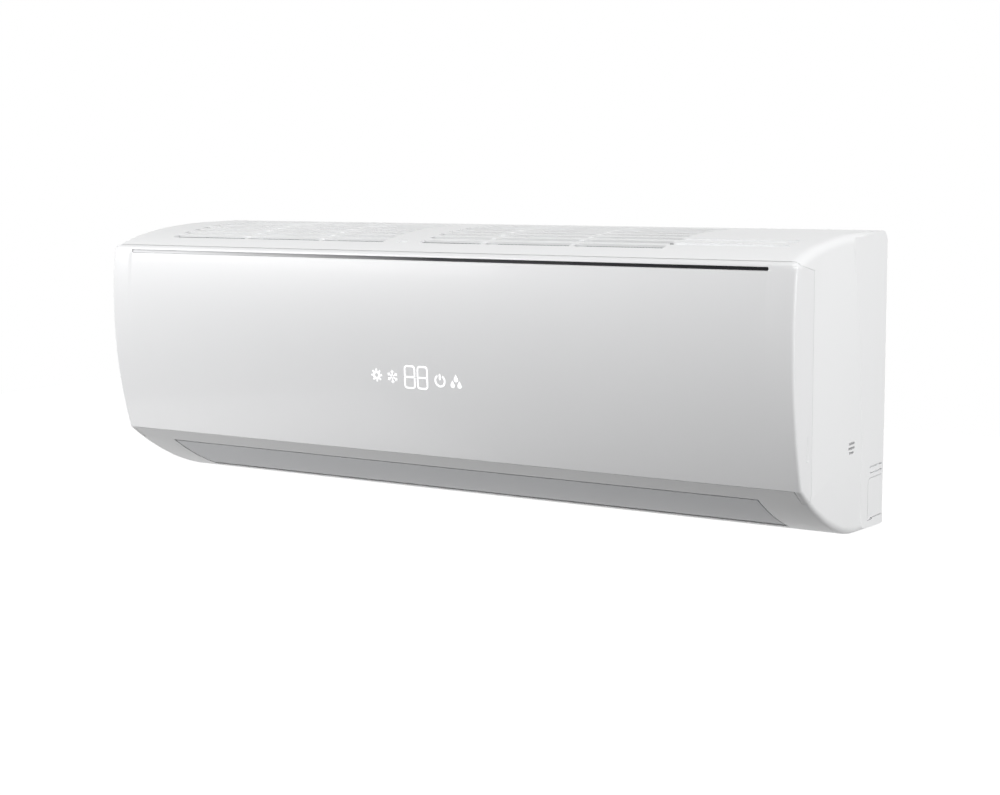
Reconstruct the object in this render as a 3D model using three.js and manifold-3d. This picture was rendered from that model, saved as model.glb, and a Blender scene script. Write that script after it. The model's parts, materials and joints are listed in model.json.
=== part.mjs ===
// Wall-mounted mini split indoor unit, millimetres, +Z up.
// The origin is the middle of the wall face: x runs along the unit to its right end as seen from the room,
// y points into the wall (the room is at negative y), z = 0 is half way up the unit.
import * as THREE from "three";
import { mergeVertices } from "three/addons/utils/BufferGeometryUtils.js";
import Module from "manifold-3d";

const wasm = await Module();
wasm.setup();

// ---------------------------------------------------------------- driving dimensions
const GAP = 0.3; // still pieces that seat on each other
const RUN = 0.6; // moving skins that pass each other
const ROUND = 20; // sides of a turned piece

const BODY = {
  width: 790, height: 276.5, depth: 213,
  wall: 2.2,
  bellyRadius: 430, bellyHeight: 50, // front skin: an arc whose foremost line is above the middle
  topFlat: 60, topShoulder: 22, topEdge: 9, // flat part of the top, drop to the front corner, end rounding
  backCorner: 8, frontCorner: 4.5, chinCorner: 2.5,
  chinRise: 58, bottomFlat: 60, bottomEdge: 8, frontEdge: 4.5, backEdge: 0.6,
  sideRecess: 1.8, // the rear part of each end steps in
};
const HALF = BODY.width / 2;
const FRONT = -BODY.depth;
const TOP = BODY.height / 2;
const BOTTOM = -TOP;
const chinZ = BOTTOM + BODY.chinRise;
const cornerZ = TOP - BODY.topShoulder;

const PANEL = {
  skin: 2.3, frameSpace: 4.9, // its own wall, and the room between it and the casing's frame
  flangeDepth: 41, flangeBottomRadius: 7, flangeTopDrop: 29,
  insertMargin: 25, insertProud: 2.6, insertFade: 150, // raised middle plate
  slotHeight: 3.4, slotBelowCorner: 2.6, slotDepth: 2.4,
  pin: 1.3, armThick: 2.5, lug: 4, lugRadius: 2.8, lugInset: 14,
};
const NOTCH = { behindFlange: 1.6, width: 9.4, aboveChin: 25.75, height: 20.5, radius: 2, deep: 1.2 };
const GRILLE = {
  left: 60, right: 142, front: 32, back: 37, // margins from the ends, the front and the wall
  pitch: 16, slot: 9.5, rib: 4, ribSink: 1.2, ribDeep: 6, bays: 6, web: 43, webBefore: 16,
  closed: { left: 143, right: 27, front: 13, slot: 8, pitch: 18, rows: 2, deep: 1 },
};
const LOUVRE = {
  endMargin: 50, front: 38.7, rear: 98, pivot: 85, // back from the front of the unit
  thick: 2.6, endGap: 1.5, frontGap: 1.2, rearGap: 8, pivotDepth: 9.5, pin: 2.5, pinLength: 3.6, lug: 3,
};
const FAN = {
  y: FRONT + 115, z: BOTTOM + 118.25, left: -HALF + 65, right: HALF - 145,
  radius: 47.5, inner: 35, blades: 26, rings: 5, ringThick: 2.4, bladeThick: 1.5, camber: 3.2,
  hub: 13, stub: 4, shaft: 4,
};
const COIL = {
  left: FAN.left - 15, right: FAN.right - 5, thick: 22, bendShare: 0.542,
  tube: 3.5, boreGap: GAP, passesPerBlock: 4, plate: 1, bendSteps: 6,
};
const MOTOR = { radius: 42, length: 56, gap: 23, cradleThick: 4, band: 12 };
const VANE = {
  perGroup: 5, pitch: 56, groupGap: 48, thick: 1.6, height: 40, before: 8, after: 23, pin: 1.6, pinLength: 4,
  link: 18, peg: 1.2, pegLength: 2.6, barWidth: 6, barThick: 1.8,
};
const PLATE = {
  thick: 1.2, half: 280, top: TOP - 28.25, bottom: BOTTOM + 78.25, flange: 3.4, hookInset: 80, hookWidth: 40,
};
const FILTER = { thick: 3, frame: 7, mesh: 0.8, edge: 6 };
const BAY = { boxLeft: HALF - 52, boxWidth: 38, boxWall: 2, boardThick: 1.6 };
const SCREW = { head: 3.4, headHeight: 2, shank: 1.6, length: 11 };

// ---------------------------------------------------------------- places worked out from them
const SIDE = HALF - PANEL.skin - RUN; // end face of the casing inside the panel's flange
const INNER_X = SIDE - BODY.wall;
const FRAME_INSET = PANEL.skin + PANEL.frameSpace; // casing frame behind the panel
const FRAME_BACK = FRAME_INSET + BODY.wall;
const flangeBack = BODY.depth - PANEL.flangeDepth;
const insertHalf = HALF - PANEL.insertMargin;
const louvreHalf = HALF - LOUVRE.endMargin;
const louvreFront = FRONT + LOUVRE.front;
const louvreRear = FRONT + LOUVRE.rear;
const hookX = PLATE.half - PLATE.hookInset;

// ---------------------------------------------------------------- solids
function solid(geometry) {
  const bare = new THREE.BufferGeometry();
  bare.setAttribute("position", geometry.getAttribute("position"));
  if (geometry.index) bare.setIndex(geometry.index);
  const merged = mergeVertices(bare, 1e-4);
  const mesh = new wasm.Mesh({
    numProp: 3,
    vertProperties: new Float32Array(merged.attributes.position.array),
    triVerts: new Uint32Array(merged.index.array),
  });
  return new wasm.Manifold(mesh);
}

function geometryOf(body) {
  const mesh = body.getMesh();
  const geometry = new THREE.BufferGeometry();
  geometry.setAttribute("position", new THREE.BufferAttribute(Float32Array.from(mesh.vertProperties), 3));
  geometry.setIndex(new THREE.BufferAttribute(Uint32Array.from(mesh.triVerts), 1));
  const flat = geometry.toNonIndexed();
  flat.computeVertexNormals();
  return flat;
}

const join = (...bodies) => bodies.flat().reduce((all, body) => all.add(body));
const cut = (body, ...tools) => tools.flat().reduce((left, tool) => left.subtract(tool), body);

// A matrix that takes a shape's own x, y and depth to three directions of the part.
function basis(x, y, z, origin = [0, 0, 0]) {
  const matrix = new THREE.Matrix4().makeBasis(
    new THREE.Vector3(...x), new THREE.Vector3(...y), new THREE.Vector3(...z));
  return matrix.setPosition(...origin);
}

function plainPrism(points, depth, matrix) {
  const shape = new THREE.Shape(points.map(([u, v]) => new THREE.Vector2(u, v)));
  const geometry = new THREE.ExtrudeGeometry(shape, { depth, bevelEnabled: false });
  return solid(geometry.applyMatrix4(matrix));
}

// A flat outline pushed along its own depth, with any holes cut right through.
function prism(points, depth, matrix, holes = []) {
  const past = 1;
  const through = matrix.clone().multiply(new THREE.Matrix4().makeTranslation(0, 0, -past));
  return cut(plainPrism(points, depth, matrix), holes.map((hole) => plainPrism(hole, depth + 2 * past, through)));
}

// Outline in (y, z), running from x0 to x1.
const alongX = (points, x0, x1, holes) =>
  prism(points, x1 - x0, basis([0, 1, 0], [0, 0, 1], [1, 0, 0], [x0, 0, 0]), holes);
// Outline in (x, z), running from y0 (room side) to y1.
const alongY = (points, y0, y1, holes) =>
  prism(points, y1 - y0, basis([1, 0, 0], [0, 0, 1], [0, -1, 0], [0, y1, 0]), holes);
// Outline in (x, y), running from z0 up to z1.
const alongZ = (points, z0, z1, holes) =>
  prism(points, z1 - z0, basis([1, 0, 0], [0, 1, 0], [0, 0, 1], [0, 0, z0]), holes);

const rectangle = (u0, u1, v0, v1) => [[u0, v0], [u1, v0], [u1, v1], [u0, v1]];
const box = (x0, x1, y0, y1, z0, z1) => alongX(rectangle(y0, y1, z0, z1), x0, x1);

function ring(u, v, radius, sides = ROUND, start = 0, sweep = 2 * Math.PI) {
  const full = sweep > 6.28;
  const count = full ? sides : sides + 1;
  return Array.from({ length: count }, (_, i) => {
    const angle = start + (sweep * i) / sides;
    return [u + radius * Math.cos(angle), v + radius * Math.sin(angle)];
  });
}

function rounded(u0, u1, v0, v1, radius, sides = 3) {
  const corners = [[u1 - radius, v1 - radius, 0], [u0 + radius, v1 - radius, 1],
    [u0 + radius, v0 + radius, 2], [u1 - radius, v0 + radius, 3]];
  return corners.flatMap(([u, v, turn]) => ring(u, v, radius, sides, (turn * Math.PI) / 2, Math.PI / 2));
}

// Rings of matching 3-D points, closed into one body with flat ends.
function loft(rings) {
  const count = rings[0].length;
  const positions = rings.flat().flat();
  const index = [];
  for (let r = 0; r + 1 < rings.length; r += 1) {
    for (let i = 0; i < count; i += 1) {
      const a = r * count + i;
      const b = r * count + ((i + 1) % count);
      index.push(a, b, a + count, b, b + count, a + count);
    }
  }
  const capOf = (points) => {
    const flat = flatten(points);
    return THREE.ShapeUtils.triangulateShape(flat, []);
  };
  const last = (rings.length - 1) * count;
  for (const [a, b, c] of capOf(rings[0])) index.push(a, c, b);
  for (const [a, b, c] of capOf(rings.at(-1))) index.push(last + a, last + b, last + c);
  const geometry = new THREE.BufferGeometry();
  geometry.setAttribute("position", new THREE.Float32BufferAttribute(positions, 3));
  geometry.setIndex(index);
  return solid(geometry);
}

// The same points seen square to the ring's own plane.
function flatten(points) {
  const vectors = points.map((p) => new THREE.Vector3(...p));
  const normal = new THREE.Vector3();
  vectors.forEach((p, i) => normal.add(new THREE.Vector3().crossVectors(p, vectors[(i + 1) % vectors.length])));
  normal.normalize();
  const u = Math.abs(normal.x) > 0.7 ? new THREE.Vector3(0, 1, 0) : new THREE.Vector3(1, 0, 0);
  u.addScaledVector(normal, -u.dot(normal)).normalize();
  const v = new THREE.Vector3().crossVectors(normal, u);
  return vectors.map((p) => new THREE.Vector2(p.dot(u), p.dot(v)));
}

// A round tube or bar along a run of points, its rings turned as little as possible from one to the next.
function sweep(points, radius, sides) {
  const path = points.map((p) => new THREE.Vector3(...p));
  let side = new THREE.Vector3(0, 0, 1);
  const rings = path.map((at, i) => {
    const tangent = path[Math.min(i + 1, path.length - 1)].clone().sub(path[Math.max(i - 1, 0)]).normalize();
    side = side.clone().addScaledVector(tangent, -side.dot(tangent)).normalize();
    const up = new THREE.Vector3().crossVectors(tangent, side);
    return Array.from({ length: sides }, (_, k) => {
      const angle = (2 * Math.PI * k) / sides;
      const p = at.clone().addScaledVector(side, radius * Math.cos(angle)).addScaledVector(up, radius * Math.sin(angle));
      return [p.x, p.y, p.z];
    });
  });
  return loft(rings);
}

const nodes = new THREE.Group();
function add(name, body, colour, roughness = 0.5, metalness = 0) {
  const material = new THREE.MeshStandardMaterial({ color: colour, roughness, metalness });
  const mesh = new THREE.Mesh(geometryOf(body), material);
  mesh.name = name;
  nodes.add(mesh);
  return mesh;
}

const WHITE = 0xf2f3f4;
const SILVER = 0xc9cbcd;
const GREY = 0x9a9da0;
const STEEL = 0xb8bcc0;
const COPPER = 0xb87333;
const ALUMINIUM = 0xd5d8da;
const BLACK = 0x1c1d1f;
const BOARD = 0x2f6b3c;
const BRASS = 0xb59a4c;

// ---------------------------------------------------------------- outer profile
const bellyCentre = [BODY.bellyRadius - BODY.depth, BODY.bellyHeight];
function frontY(z, inset = 0) {
  const r = BODY.bellyRadius - inset;
  return bellyCentre[0] - Math.sqrt(r * r - (z - bellyCentre[1]) ** 2);
}
const frontNormal = (z) => {
  const y = frontY(z);
  return [(y - bellyCentre[0]) / BODY.bellyRadius, (z - bellyCentre[1]) / BODY.bellyRadius];
};
const vec = (y, z) => new THREE.Vector2(y, z);
const topCurve = new THREE.CubicBezierCurve(
  vec(-BODY.topFlat, TOP), vec(-BODY.topFlat * 2, TOP),
  vec(frontY(cornerZ) + 28, cornerZ + 14.6), vec(frontY(cornerZ), cornerZ));
const chinCurve = new THREE.CubicBezierCurve(
  vec(frontY(chinZ), chinZ), vec(frontY(chinZ) + 25, chinZ - 21),
  vec(-BODY.bottomFlat - 52, BOTTOM + 1.2), vec(-BODY.bottomFlat, BOTTOM));

// Both curves run round the outline with the inside of the unit on their left.
const outwardOf = (curve, t) => {
  const tangent = curve.getTangent(t);
  return [tangent.y, -tangent.x];
};

function cornerBetween(point, n1, n2, radius) {
  const dot = n1[0] * n2[0] + n1[1] * n2[1];
  const mitre = [(n1[0] + n2[0]) / (1 + dot), (n1[1] + n2[1]) / (1 + dot)];
  const centre = [point[0] - mitre[0] * radius, point[1] - mitre[1] * radius];
  return { centre, mitre, n1, n2, radius };
}

const frontTopCorner = cornerBetween([frontY(cornerZ), cornerZ], outwardOf(topCurve, 1), frontNormal(cornerZ), BODY.frontCorner);
const chinCornerAt = cornerBetween([frontY(chinZ), chinZ], frontNormal(chinZ), outwardOf(chinCurve, 0), BODY.chinCorner);
const PIVOT = { y: frontTopCorner.centre[0], z: frontTopCorner.centre[1] }; // the panel turns about its own top rounding

// Stations round the outline, anticlockwise in (y, z) from the bottom back corner. Each knows its outward
// normal and its end rounding, so that the outline can be drawn at any inset.
function outlineStations() {
  const stations = [];
  const smooth = (p, n, edge) => stations.push({ at: (d) => [p[0] - n[0] * d, p[1] - n[1] * d], edge });
  const corner = (c, sides, edge) => {
    const start = Math.atan2(c.n1[1], c.n1[0]);
    let turn = Math.atan2(c.n2[1], c.n2[0]) - start;
    if (turn < 0) turn += 2 * Math.PI;
    for (let i = 0; i <= sides; i += 1) {
      const angle = start + (turn * i) / sides;
      const n = [Math.cos(angle), Math.sin(angle)];
      const least = 0.05;
      const at = (d) => {
        const past = Math.max(0, d - c.radius + least);
        const r = Math.max(c.radius - d, least);
        return [c.centre[0] - c.mitre[0] * past + n[0] * r, c.centre[1] - c.mitre[1] * past + n[1] * r];
      };
      stations.push({ at, edge });
    }
  };
  corner(cornerBetween([0, BOTTOM], [0, -1], [1, 0], 2), 2, BODY.backEdge);
  corner(cornerBetween([0, TOP], [1, 0], [0, 1], BODY.backCorner), 4, BODY.backEdge);
  const topSteps = 7;
  const cornerRun = 1 - (BODY.frontCorner * 0.5) / 90;
  for (let i = 0; i <= topSteps; i += 1) {
    const t = (cornerRun * i) / topSteps;
    const p = topCurve.getPoint(t);
    smooth([p.x, p.y], outwardOf(topCurve, t), BODY.topEdge);
  }
  corner(frontTopCorner, 4, (BODY.topEdge + BODY.frontEdge) / 2);
  const frontSteps = 9;
  for (let i = 0; i <= frontSteps; i += 1) {
    const z = cornerZ - 3 + ((chinZ + 1.5 - cornerZ + 3) * i) / frontSteps;
    smooth([frontY(z), z], frontNormal(z), BODY.frontEdge);
  }
  corner(chinCornerAt, 2, BODY.frontEdge);
  const chinSteps = 8;
  for (let i = 0; i <= chinSteps; i += 1) {
    const t = 0.02 + (0.98 * i) / chinSteps;
    const p = chinCurve.getPoint(t);
    smooth([p.x, p.y], outwardOf(chinCurve, t), BODY.frontEdge + (BODY.bottomEdge - BODY.frontEdge) * t);
  }
  return stations;
}
const STATIONS = outlineStations();
const outline = (inset) => STATIONS.map((s) => s.at(inset));

// The whole outer form: straight along the middle, with each end edge rounded.
function outerForm(half, turns = 2) {
  const rings = [];
  const ringAt = (sign, angle) => STATIONS.map((s) => {
    const inset = s.edge * (1 - Math.cos(angle));
    const x = sign * (half - s.edge * (1 - Math.sin(angle)));
    return [x, ...s.at(inset)];
  });
  for (let i = 0; i <= turns; i += 1) rings.push(ringAt(-1, (Math.PI / 2) * (1 - i / turns)));
  for (let i = 0; i <= turns; i += 1) rings.push(ringAt(1, (Math.PI / 2) * (i / turns)));
  return loft(rings);
}

function curveAtY(curve, y) {
  let low = 0;
  let high = 1;
  const rising = curve.getPoint(1).x > curve.getPoint(0).x;
  for (let i = 0; i < 40; i += 1) {
    const middle = (low + high) / 2;
    if (curve.getPoint(middle).x < y === rising) low = middle;
    else high = middle;
  }
  return low;
}
const chinAt = (y, inset = 0) => {
  const t = curveAtY(chinCurve, y);
  const p = chinCurve.getPoint(t);
  const n = outwardOf(chinCurve, t);
  return [p.x - n[0] * inset, p.y - n[1] * inset];
};
const topAt = (y, inset = 0) => {
  if (y > -BODY.topFlat) return [y, TOP - inset];
  const t = curveAtY(topCurve, y);
  const p = topCurve.getPoint(t);
  const n = outwardOf(topCurve, t);
  return [p.x - n[0] * inset, p.y - n[1] * inset];
};
const range = (count, from, to) => Array.from({ length: count + 1 }, (_, i) => from + ((to - from) * i) / count);
const chinRun = (y0, y1, inset, steps = 6) => range(steps, y0, y1).map((y) => chinAt(y, inset));
const frontRun = (z0, z1, inset, steps = 8) => range(steps, z0, z1).map((z) => [frontY(z, inset), z]);
const topRun = (y0, y1, inset, steps = 8) => range(steps, y0, y1).map((y) => topAt(y, inset));

// ---------------------------------------------------------------- front panel
const lip = topAt(PIVOT.y)[1] - PIVOT.z; // reach of the panel's top lip from its pivot
const flangeTop = TOP - PANEL.flangeTopDrop;

// The space of the panel seen from the end, grown by a clearance.
function panelZone(grow, far = 40) {
  const back = -flangeBack + grow;
  const reach = lip + grow;
  const seam = PIVOT.y + grow;
  const [, ...arc] = range(5, Math.PI / 2, Math.PI / 9).map((angle) => [
    PIVOT.y + grow * 0.5 + reach * Math.cos(angle), PIVOT.z + reach * Math.sin(angle)]);
  const bottom = chinAt(back - 4);
  const exit = chinAt(back - 4, -far);
  const curl = PANEL.flangeBottomRadius;
  return [
    [seam, TOP + far], [seam, PIVOT.z + Math.sqrt(reach * reach - grow * grow)], ...arc,
    [back, flangeTop + grow],
    [back, bottom[1] + curl + 2.5 - grow],
    [back - 1.2, bottom[1] + curl * 0.45 + 1.5 - grow],
    [bottom[0], bottom[1] + 0.5 - grow],
    [exit[0], exit[1] - grow],
    [-BODY.depth - far, exit[1] - grow],
    [-BODY.depth - far, TOP + far],
  ].reverse();
}

function frontPanel() {
  const flangeInner = HALF - PANEL.skin;
  const skinEnd = flangeInner - 4;
  const zone = alongX(panelZone(0), -HALF - 1, HALF + 1);
  let body = outerForm(HALF).intersect(zone);
  const hollow = outline(PANEL.skin);
  body = cut(body, alongX(hollow, -flangeInner, flangeInner));
  // below the chin the skin stops, and only the two end flanges run on
  const chinCut = [
    [-BODY.depth - 20, chinZ + 0.4], [frontY(chinZ, PANEL.skin) + 1, chinZ + 0.4],
    [-flangeBack + 10, chinZ + 0.4], [-flangeBack + 10, BOTTOM], [-BODY.depth - 20, BOTTOM]].reverse();
  body = cut(body, alongX(chinCut, -skinEnd, skinEnd));
  // raised middle plate, proud at the top and fading into the skin lower down
  const plateTop = cornerZ - PANEL.slotBelowCorner - PANEL.slotHeight;
  const proud = (z) => PANEL.insertProud * Math.max(0, 1 - (plateTop - z) / PANEL.insertFade) ** 1.5;
  const zs = range(10, plateTop - PANEL.insertFade, plateTop);
  const face = zs.map((z) => [frontY(z, -proud(z)), z]);
  const back = [...zs].reverse().map((z) => [frontY(z, PANEL.skin * 0.5), z]);
  body = join(body, alongX([...face, ...back].reverse(), -insertHalf, insertHalf));
  // slot under the header, with a backing rib behind it
  const slotTop = plateTop + PANEL.slotHeight;
  const ribEnds = insertHalf - 2;
  const rib = [
    [frontY(plateTop - 4, 1), plateTop - 4], [frontY(plateTop - 4, PANEL.skin + 0.2), plateTop - 4],
    [frontY(plateTop - 1, PANEL.skin + 2), plateTop - 1], [frontY(slotTop + 0.6, PANEL.skin + 2), slotTop + 0.6],
    [frontY(slotTop + 2, PANEL.skin - 0.4), slotTop + 2], [frontY(slotTop + 2, 1), slotTop + 2]];
  body = join(body, alongX(rib, -ribEnds, ribEnds));
  const slot = [
    [-BODY.depth - 9, plateTop], [frontY(plateTop, PANEL.slotDepth), plateTop],
    [frontY(slotTop, PANEL.slotDepth), slotTop], [-BODY.depth - 9, slotTop]];
  body = cut(body, alongX(slot, -ribEnds - 1, ribEnds + 1));
  // hinge arms and pins at both ends, with room round the casing's lugs
  for (const sign of [-1, 1]) {
    const place = (a, b) => (sign > 0 ? [a, b] : [-b, -a]);
    const [n0, n1] = place(PANEL_LUG.x0 - 1, PANEL_LUG.arm1 + 0.6);
    body = cut(body, alongX(ring(PIVOT.y, PIVOT.z, PANEL.lugRadius + RUN, 16), n0, n1));
    const [a0, a1] = place(PANEL_LUG.arm0, PANEL_LUG.arm1);
    const arm = [
      [PIVOT.y + 1.6, PIVOT.z + 1.6], [PIVOT.y - 2, PIVOT.z + 2.2], [frontY(PIVOT.z - 2, 1.2), PIVOT.z - 1],
      [frontY(PIVOT.z - 9, 1.2), PIVOT.z - 9], [PIVOT.y - 1, PIVOT.z - 3], [PIVOT.y + 1.6, PIVOT.z - 1.6]];
    body = join(body, alongX(arm, a0, a1));
    const [p0, p1] = place(PANEL_LUG.x0 - 0.2, PANEL_LUG.arm0 + 1);
    body = join(body, alongX(ring(PIVOT.y, PIVOT.z, PANEL.pin, 12), p0, p1));
  }
  // finger notch in the end flange, near its lower back corner
  const notchBack = -flangeBack - NOTCH.behindFlange;
  const notchLow = chinZ + NOTCH.aboveChin;
  const notch = rounded(notchBack - NOTCH.width, notchBack, notchLow, notchLow + NOTCH.height, NOTCH.radius);
  for (const sign of [-1, 1]) {
    const [a, b] = sign > 0 ? [HALF - NOTCH.deep, HALF + 3] : [-HALF - 3, -HALF + NOTCH.deep];
    body = cut(body, alongX(notch, a, b));
  }
  return body;
}
const PANEL_LUG = {
  x0: INNER_X - PANEL.lugInset, x1: INNER_X - PANEL.lugInset + PANEL.lug,
  arm0: INNER_X - PANEL.lugInset + PANEL.lug + RUN,
  arm1: INNER_X - PANEL.lugInset + PANEL.lug + RUN + PANEL.armThick,
};

const slotBottom = cornerZ - PANEL.slotBelowCorner - PANEL.slotHeight;
function panelTrim() {
  const z0 = slotBottom + GAP;
  const z1 = slotBottom + PANEL.slotHeight - GAP;
  const strip = [
    [frontY(z0, PANEL.slotDepth - 1.3), z0], [frontY(z0, PANEL.slotDepth - GAP), z0],
    [frontY(z1, PANEL.slotDepth - GAP), z1], [frontY(z1, PANEL.slotDepth - 1.3), z1]];
  return alongX(strip, -insertHalf + 2, insertHalf - 2);
}

// Light guide and board behind the skin, square to it: the numerals shine through.
const DISPLAY = { left: -56, right: 64, low: -20, high: 16, guide: 2, board: 1.2, rise: 0.4 };
const DISPLAY_ICONS = [[-45, 8], [-26, 8], [30, 8], [48, 9]]; // middle and radius of each round cell
const DISPLAY_DIGITS = [[-14, 0], [2, 17]]; // sides of the two numeral cells
function behindSkin(points, depth, thick, holes = []) {
  const z = (DISPLAY.low + DISPLAY.high) / 2;
  const [ny, nz] = frontNormal(z);
  const at = [frontY(z) - ny * (PANEL.skin + depth + thick), z - nz * (PANEL.skin + depth + thick)];
  return prism(points, thick, basis([1, 0, 0], [0, nz, -ny], [0, ny, nz], [0, ...at]), holes);
}
function displayOutline(margin) {
  const half = (DISPLAY.high - DISPLAY.low) / 2 - margin;
  return rounded(DISPLAY.left + margin, DISPLAY.right - margin, -half, half, 3, 1);
}
function displayGuide() {
  const holes = [
    ...DISPLAY_ICONS.map(([x, r]) => ring(x, 0, r, 10)),
    ...DISPLAY_DIGITS.map(([x0, x1]) => rectangle(x0, x1, -13, 13))];
  return behindSkin(displayOutline(0), DISPLAY.rise + GAP, DISPLAY.guide, holes);
}
function displayBoard() {
  return behindSkin(displayOutline(1), DISPLAY.rise + GAP + DISPLAY.guide + GAP, DISPLAY.board);
}

// ---------------------------------------------------------------- louvre
const louvrePivotY = FRONT + LOUVRE.pivot; // before it is set in from the skin
const louvrePivot = chinAt(louvrePivotY, LOUVRE.pivotDepth);
const cheek = { inner: louvreHalf + LOUVRE.endGap, thick: 2.5 };
function louvre() {
  const outer = chinRun(louvreFront, louvreRear, 0.2, 8);
  const inner = chinRun(louvreRear, louvreFront, 0.2 + LOUVRE.thick, 8);
  let body = alongX([...outer, ...inner], -louvreHalf, louvreHalf);
  const spread = 9;
  const lug = [
    chinAt(louvrePivotY - spread, LOUVRE.thick * 0.6), chinAt(louvrePivotY + spread, LOUVRE.thick * 0.6),
    ...ring(louvrePivot[0], louvrePivot[1], 4.5, 5, -0.4, Math.PI)];
  for (const x of [-louvreHalf, louvreHalf - LOUVRE.lug]) body = join(body, alongX(lug, x, x + LOUVRE.lug));
  for (const sign of [-1, 1]) {
    const x = sign * (louvreHalf + LOUVRE.pinLength / 2 - 0.5);
    const length = LOUVRE.pinLength + 1;
    body = join(body, alongX(ring(...louvrePivot, LOUVRE.pin, 12), x - length / 2, x + length / 2));
  }
  return body;
}

// ---------------------------------------------------------------- air path
const polar = (angle, radius) => [
  FAN.y + radius * Math.cos((angle * Math.PI) / 180), FAN.z + radius * Math.sin((angle * Math.PI) / 180)];
const outletLip = chinAt(louvreRear + LOUVRE.rearGap + 0.6, BODY.wall + 2.6);
// The scroll behind the fan widens from the back round to the outlet.
const scroll = [polar(37, 78), polar(12, 63), polar(-22, 60), polar(-50, 66), polar(-75, 84)];
const channel = { from: scroll.at(-1), to: outletLip };
const channelRun = new THREE.Vector2(channel.to[0] - channel.from[0], channel.to[1] - channel.from[1]);
const channelDir = channelRun.clone().normalize();
const DIR = [channelDir.x, channelDir.y];
const UP = [channelDir.y, -channelDir.x]; // square to the outlet floor, away from it
const onFloor = (along, up) => [
  channel.from[0] + DIR[0] * along + UP[0] * up, channel.from[1] + DIR[1] * along + UP[1] * up];

const AIR = { left: COIL.left - 1.5, right: FAN.right + 3.5, bulkhead: 2.5 };
const CHASSIS = { back: -5, wall: 2.5, top: TOP - 11, shelf: BOTTOM + 66.25, gutter: FAN.z + 53 };
const coilRear = FAN.y + 41; // foot of the rear fin block, over the gutter
// Front of the rail under the outlet, which stands on the flat of the bottom and takes the casing's screws.
const rail = Math.max(scroll.at(-1)[0] + 12.3, -BODY.bottomFlat - 4);

// The scroll's back face, one wall behind its front face.
const scrollBack = scroll.map(([y, z]) => {
  const angle = Math.atan2(z - FAN.z, y - FAN.y);
  return [y + CHASSIS.wall * Math.cos(angle), z + CHASSIS.wall * Math.sin(angle)];
});

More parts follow.
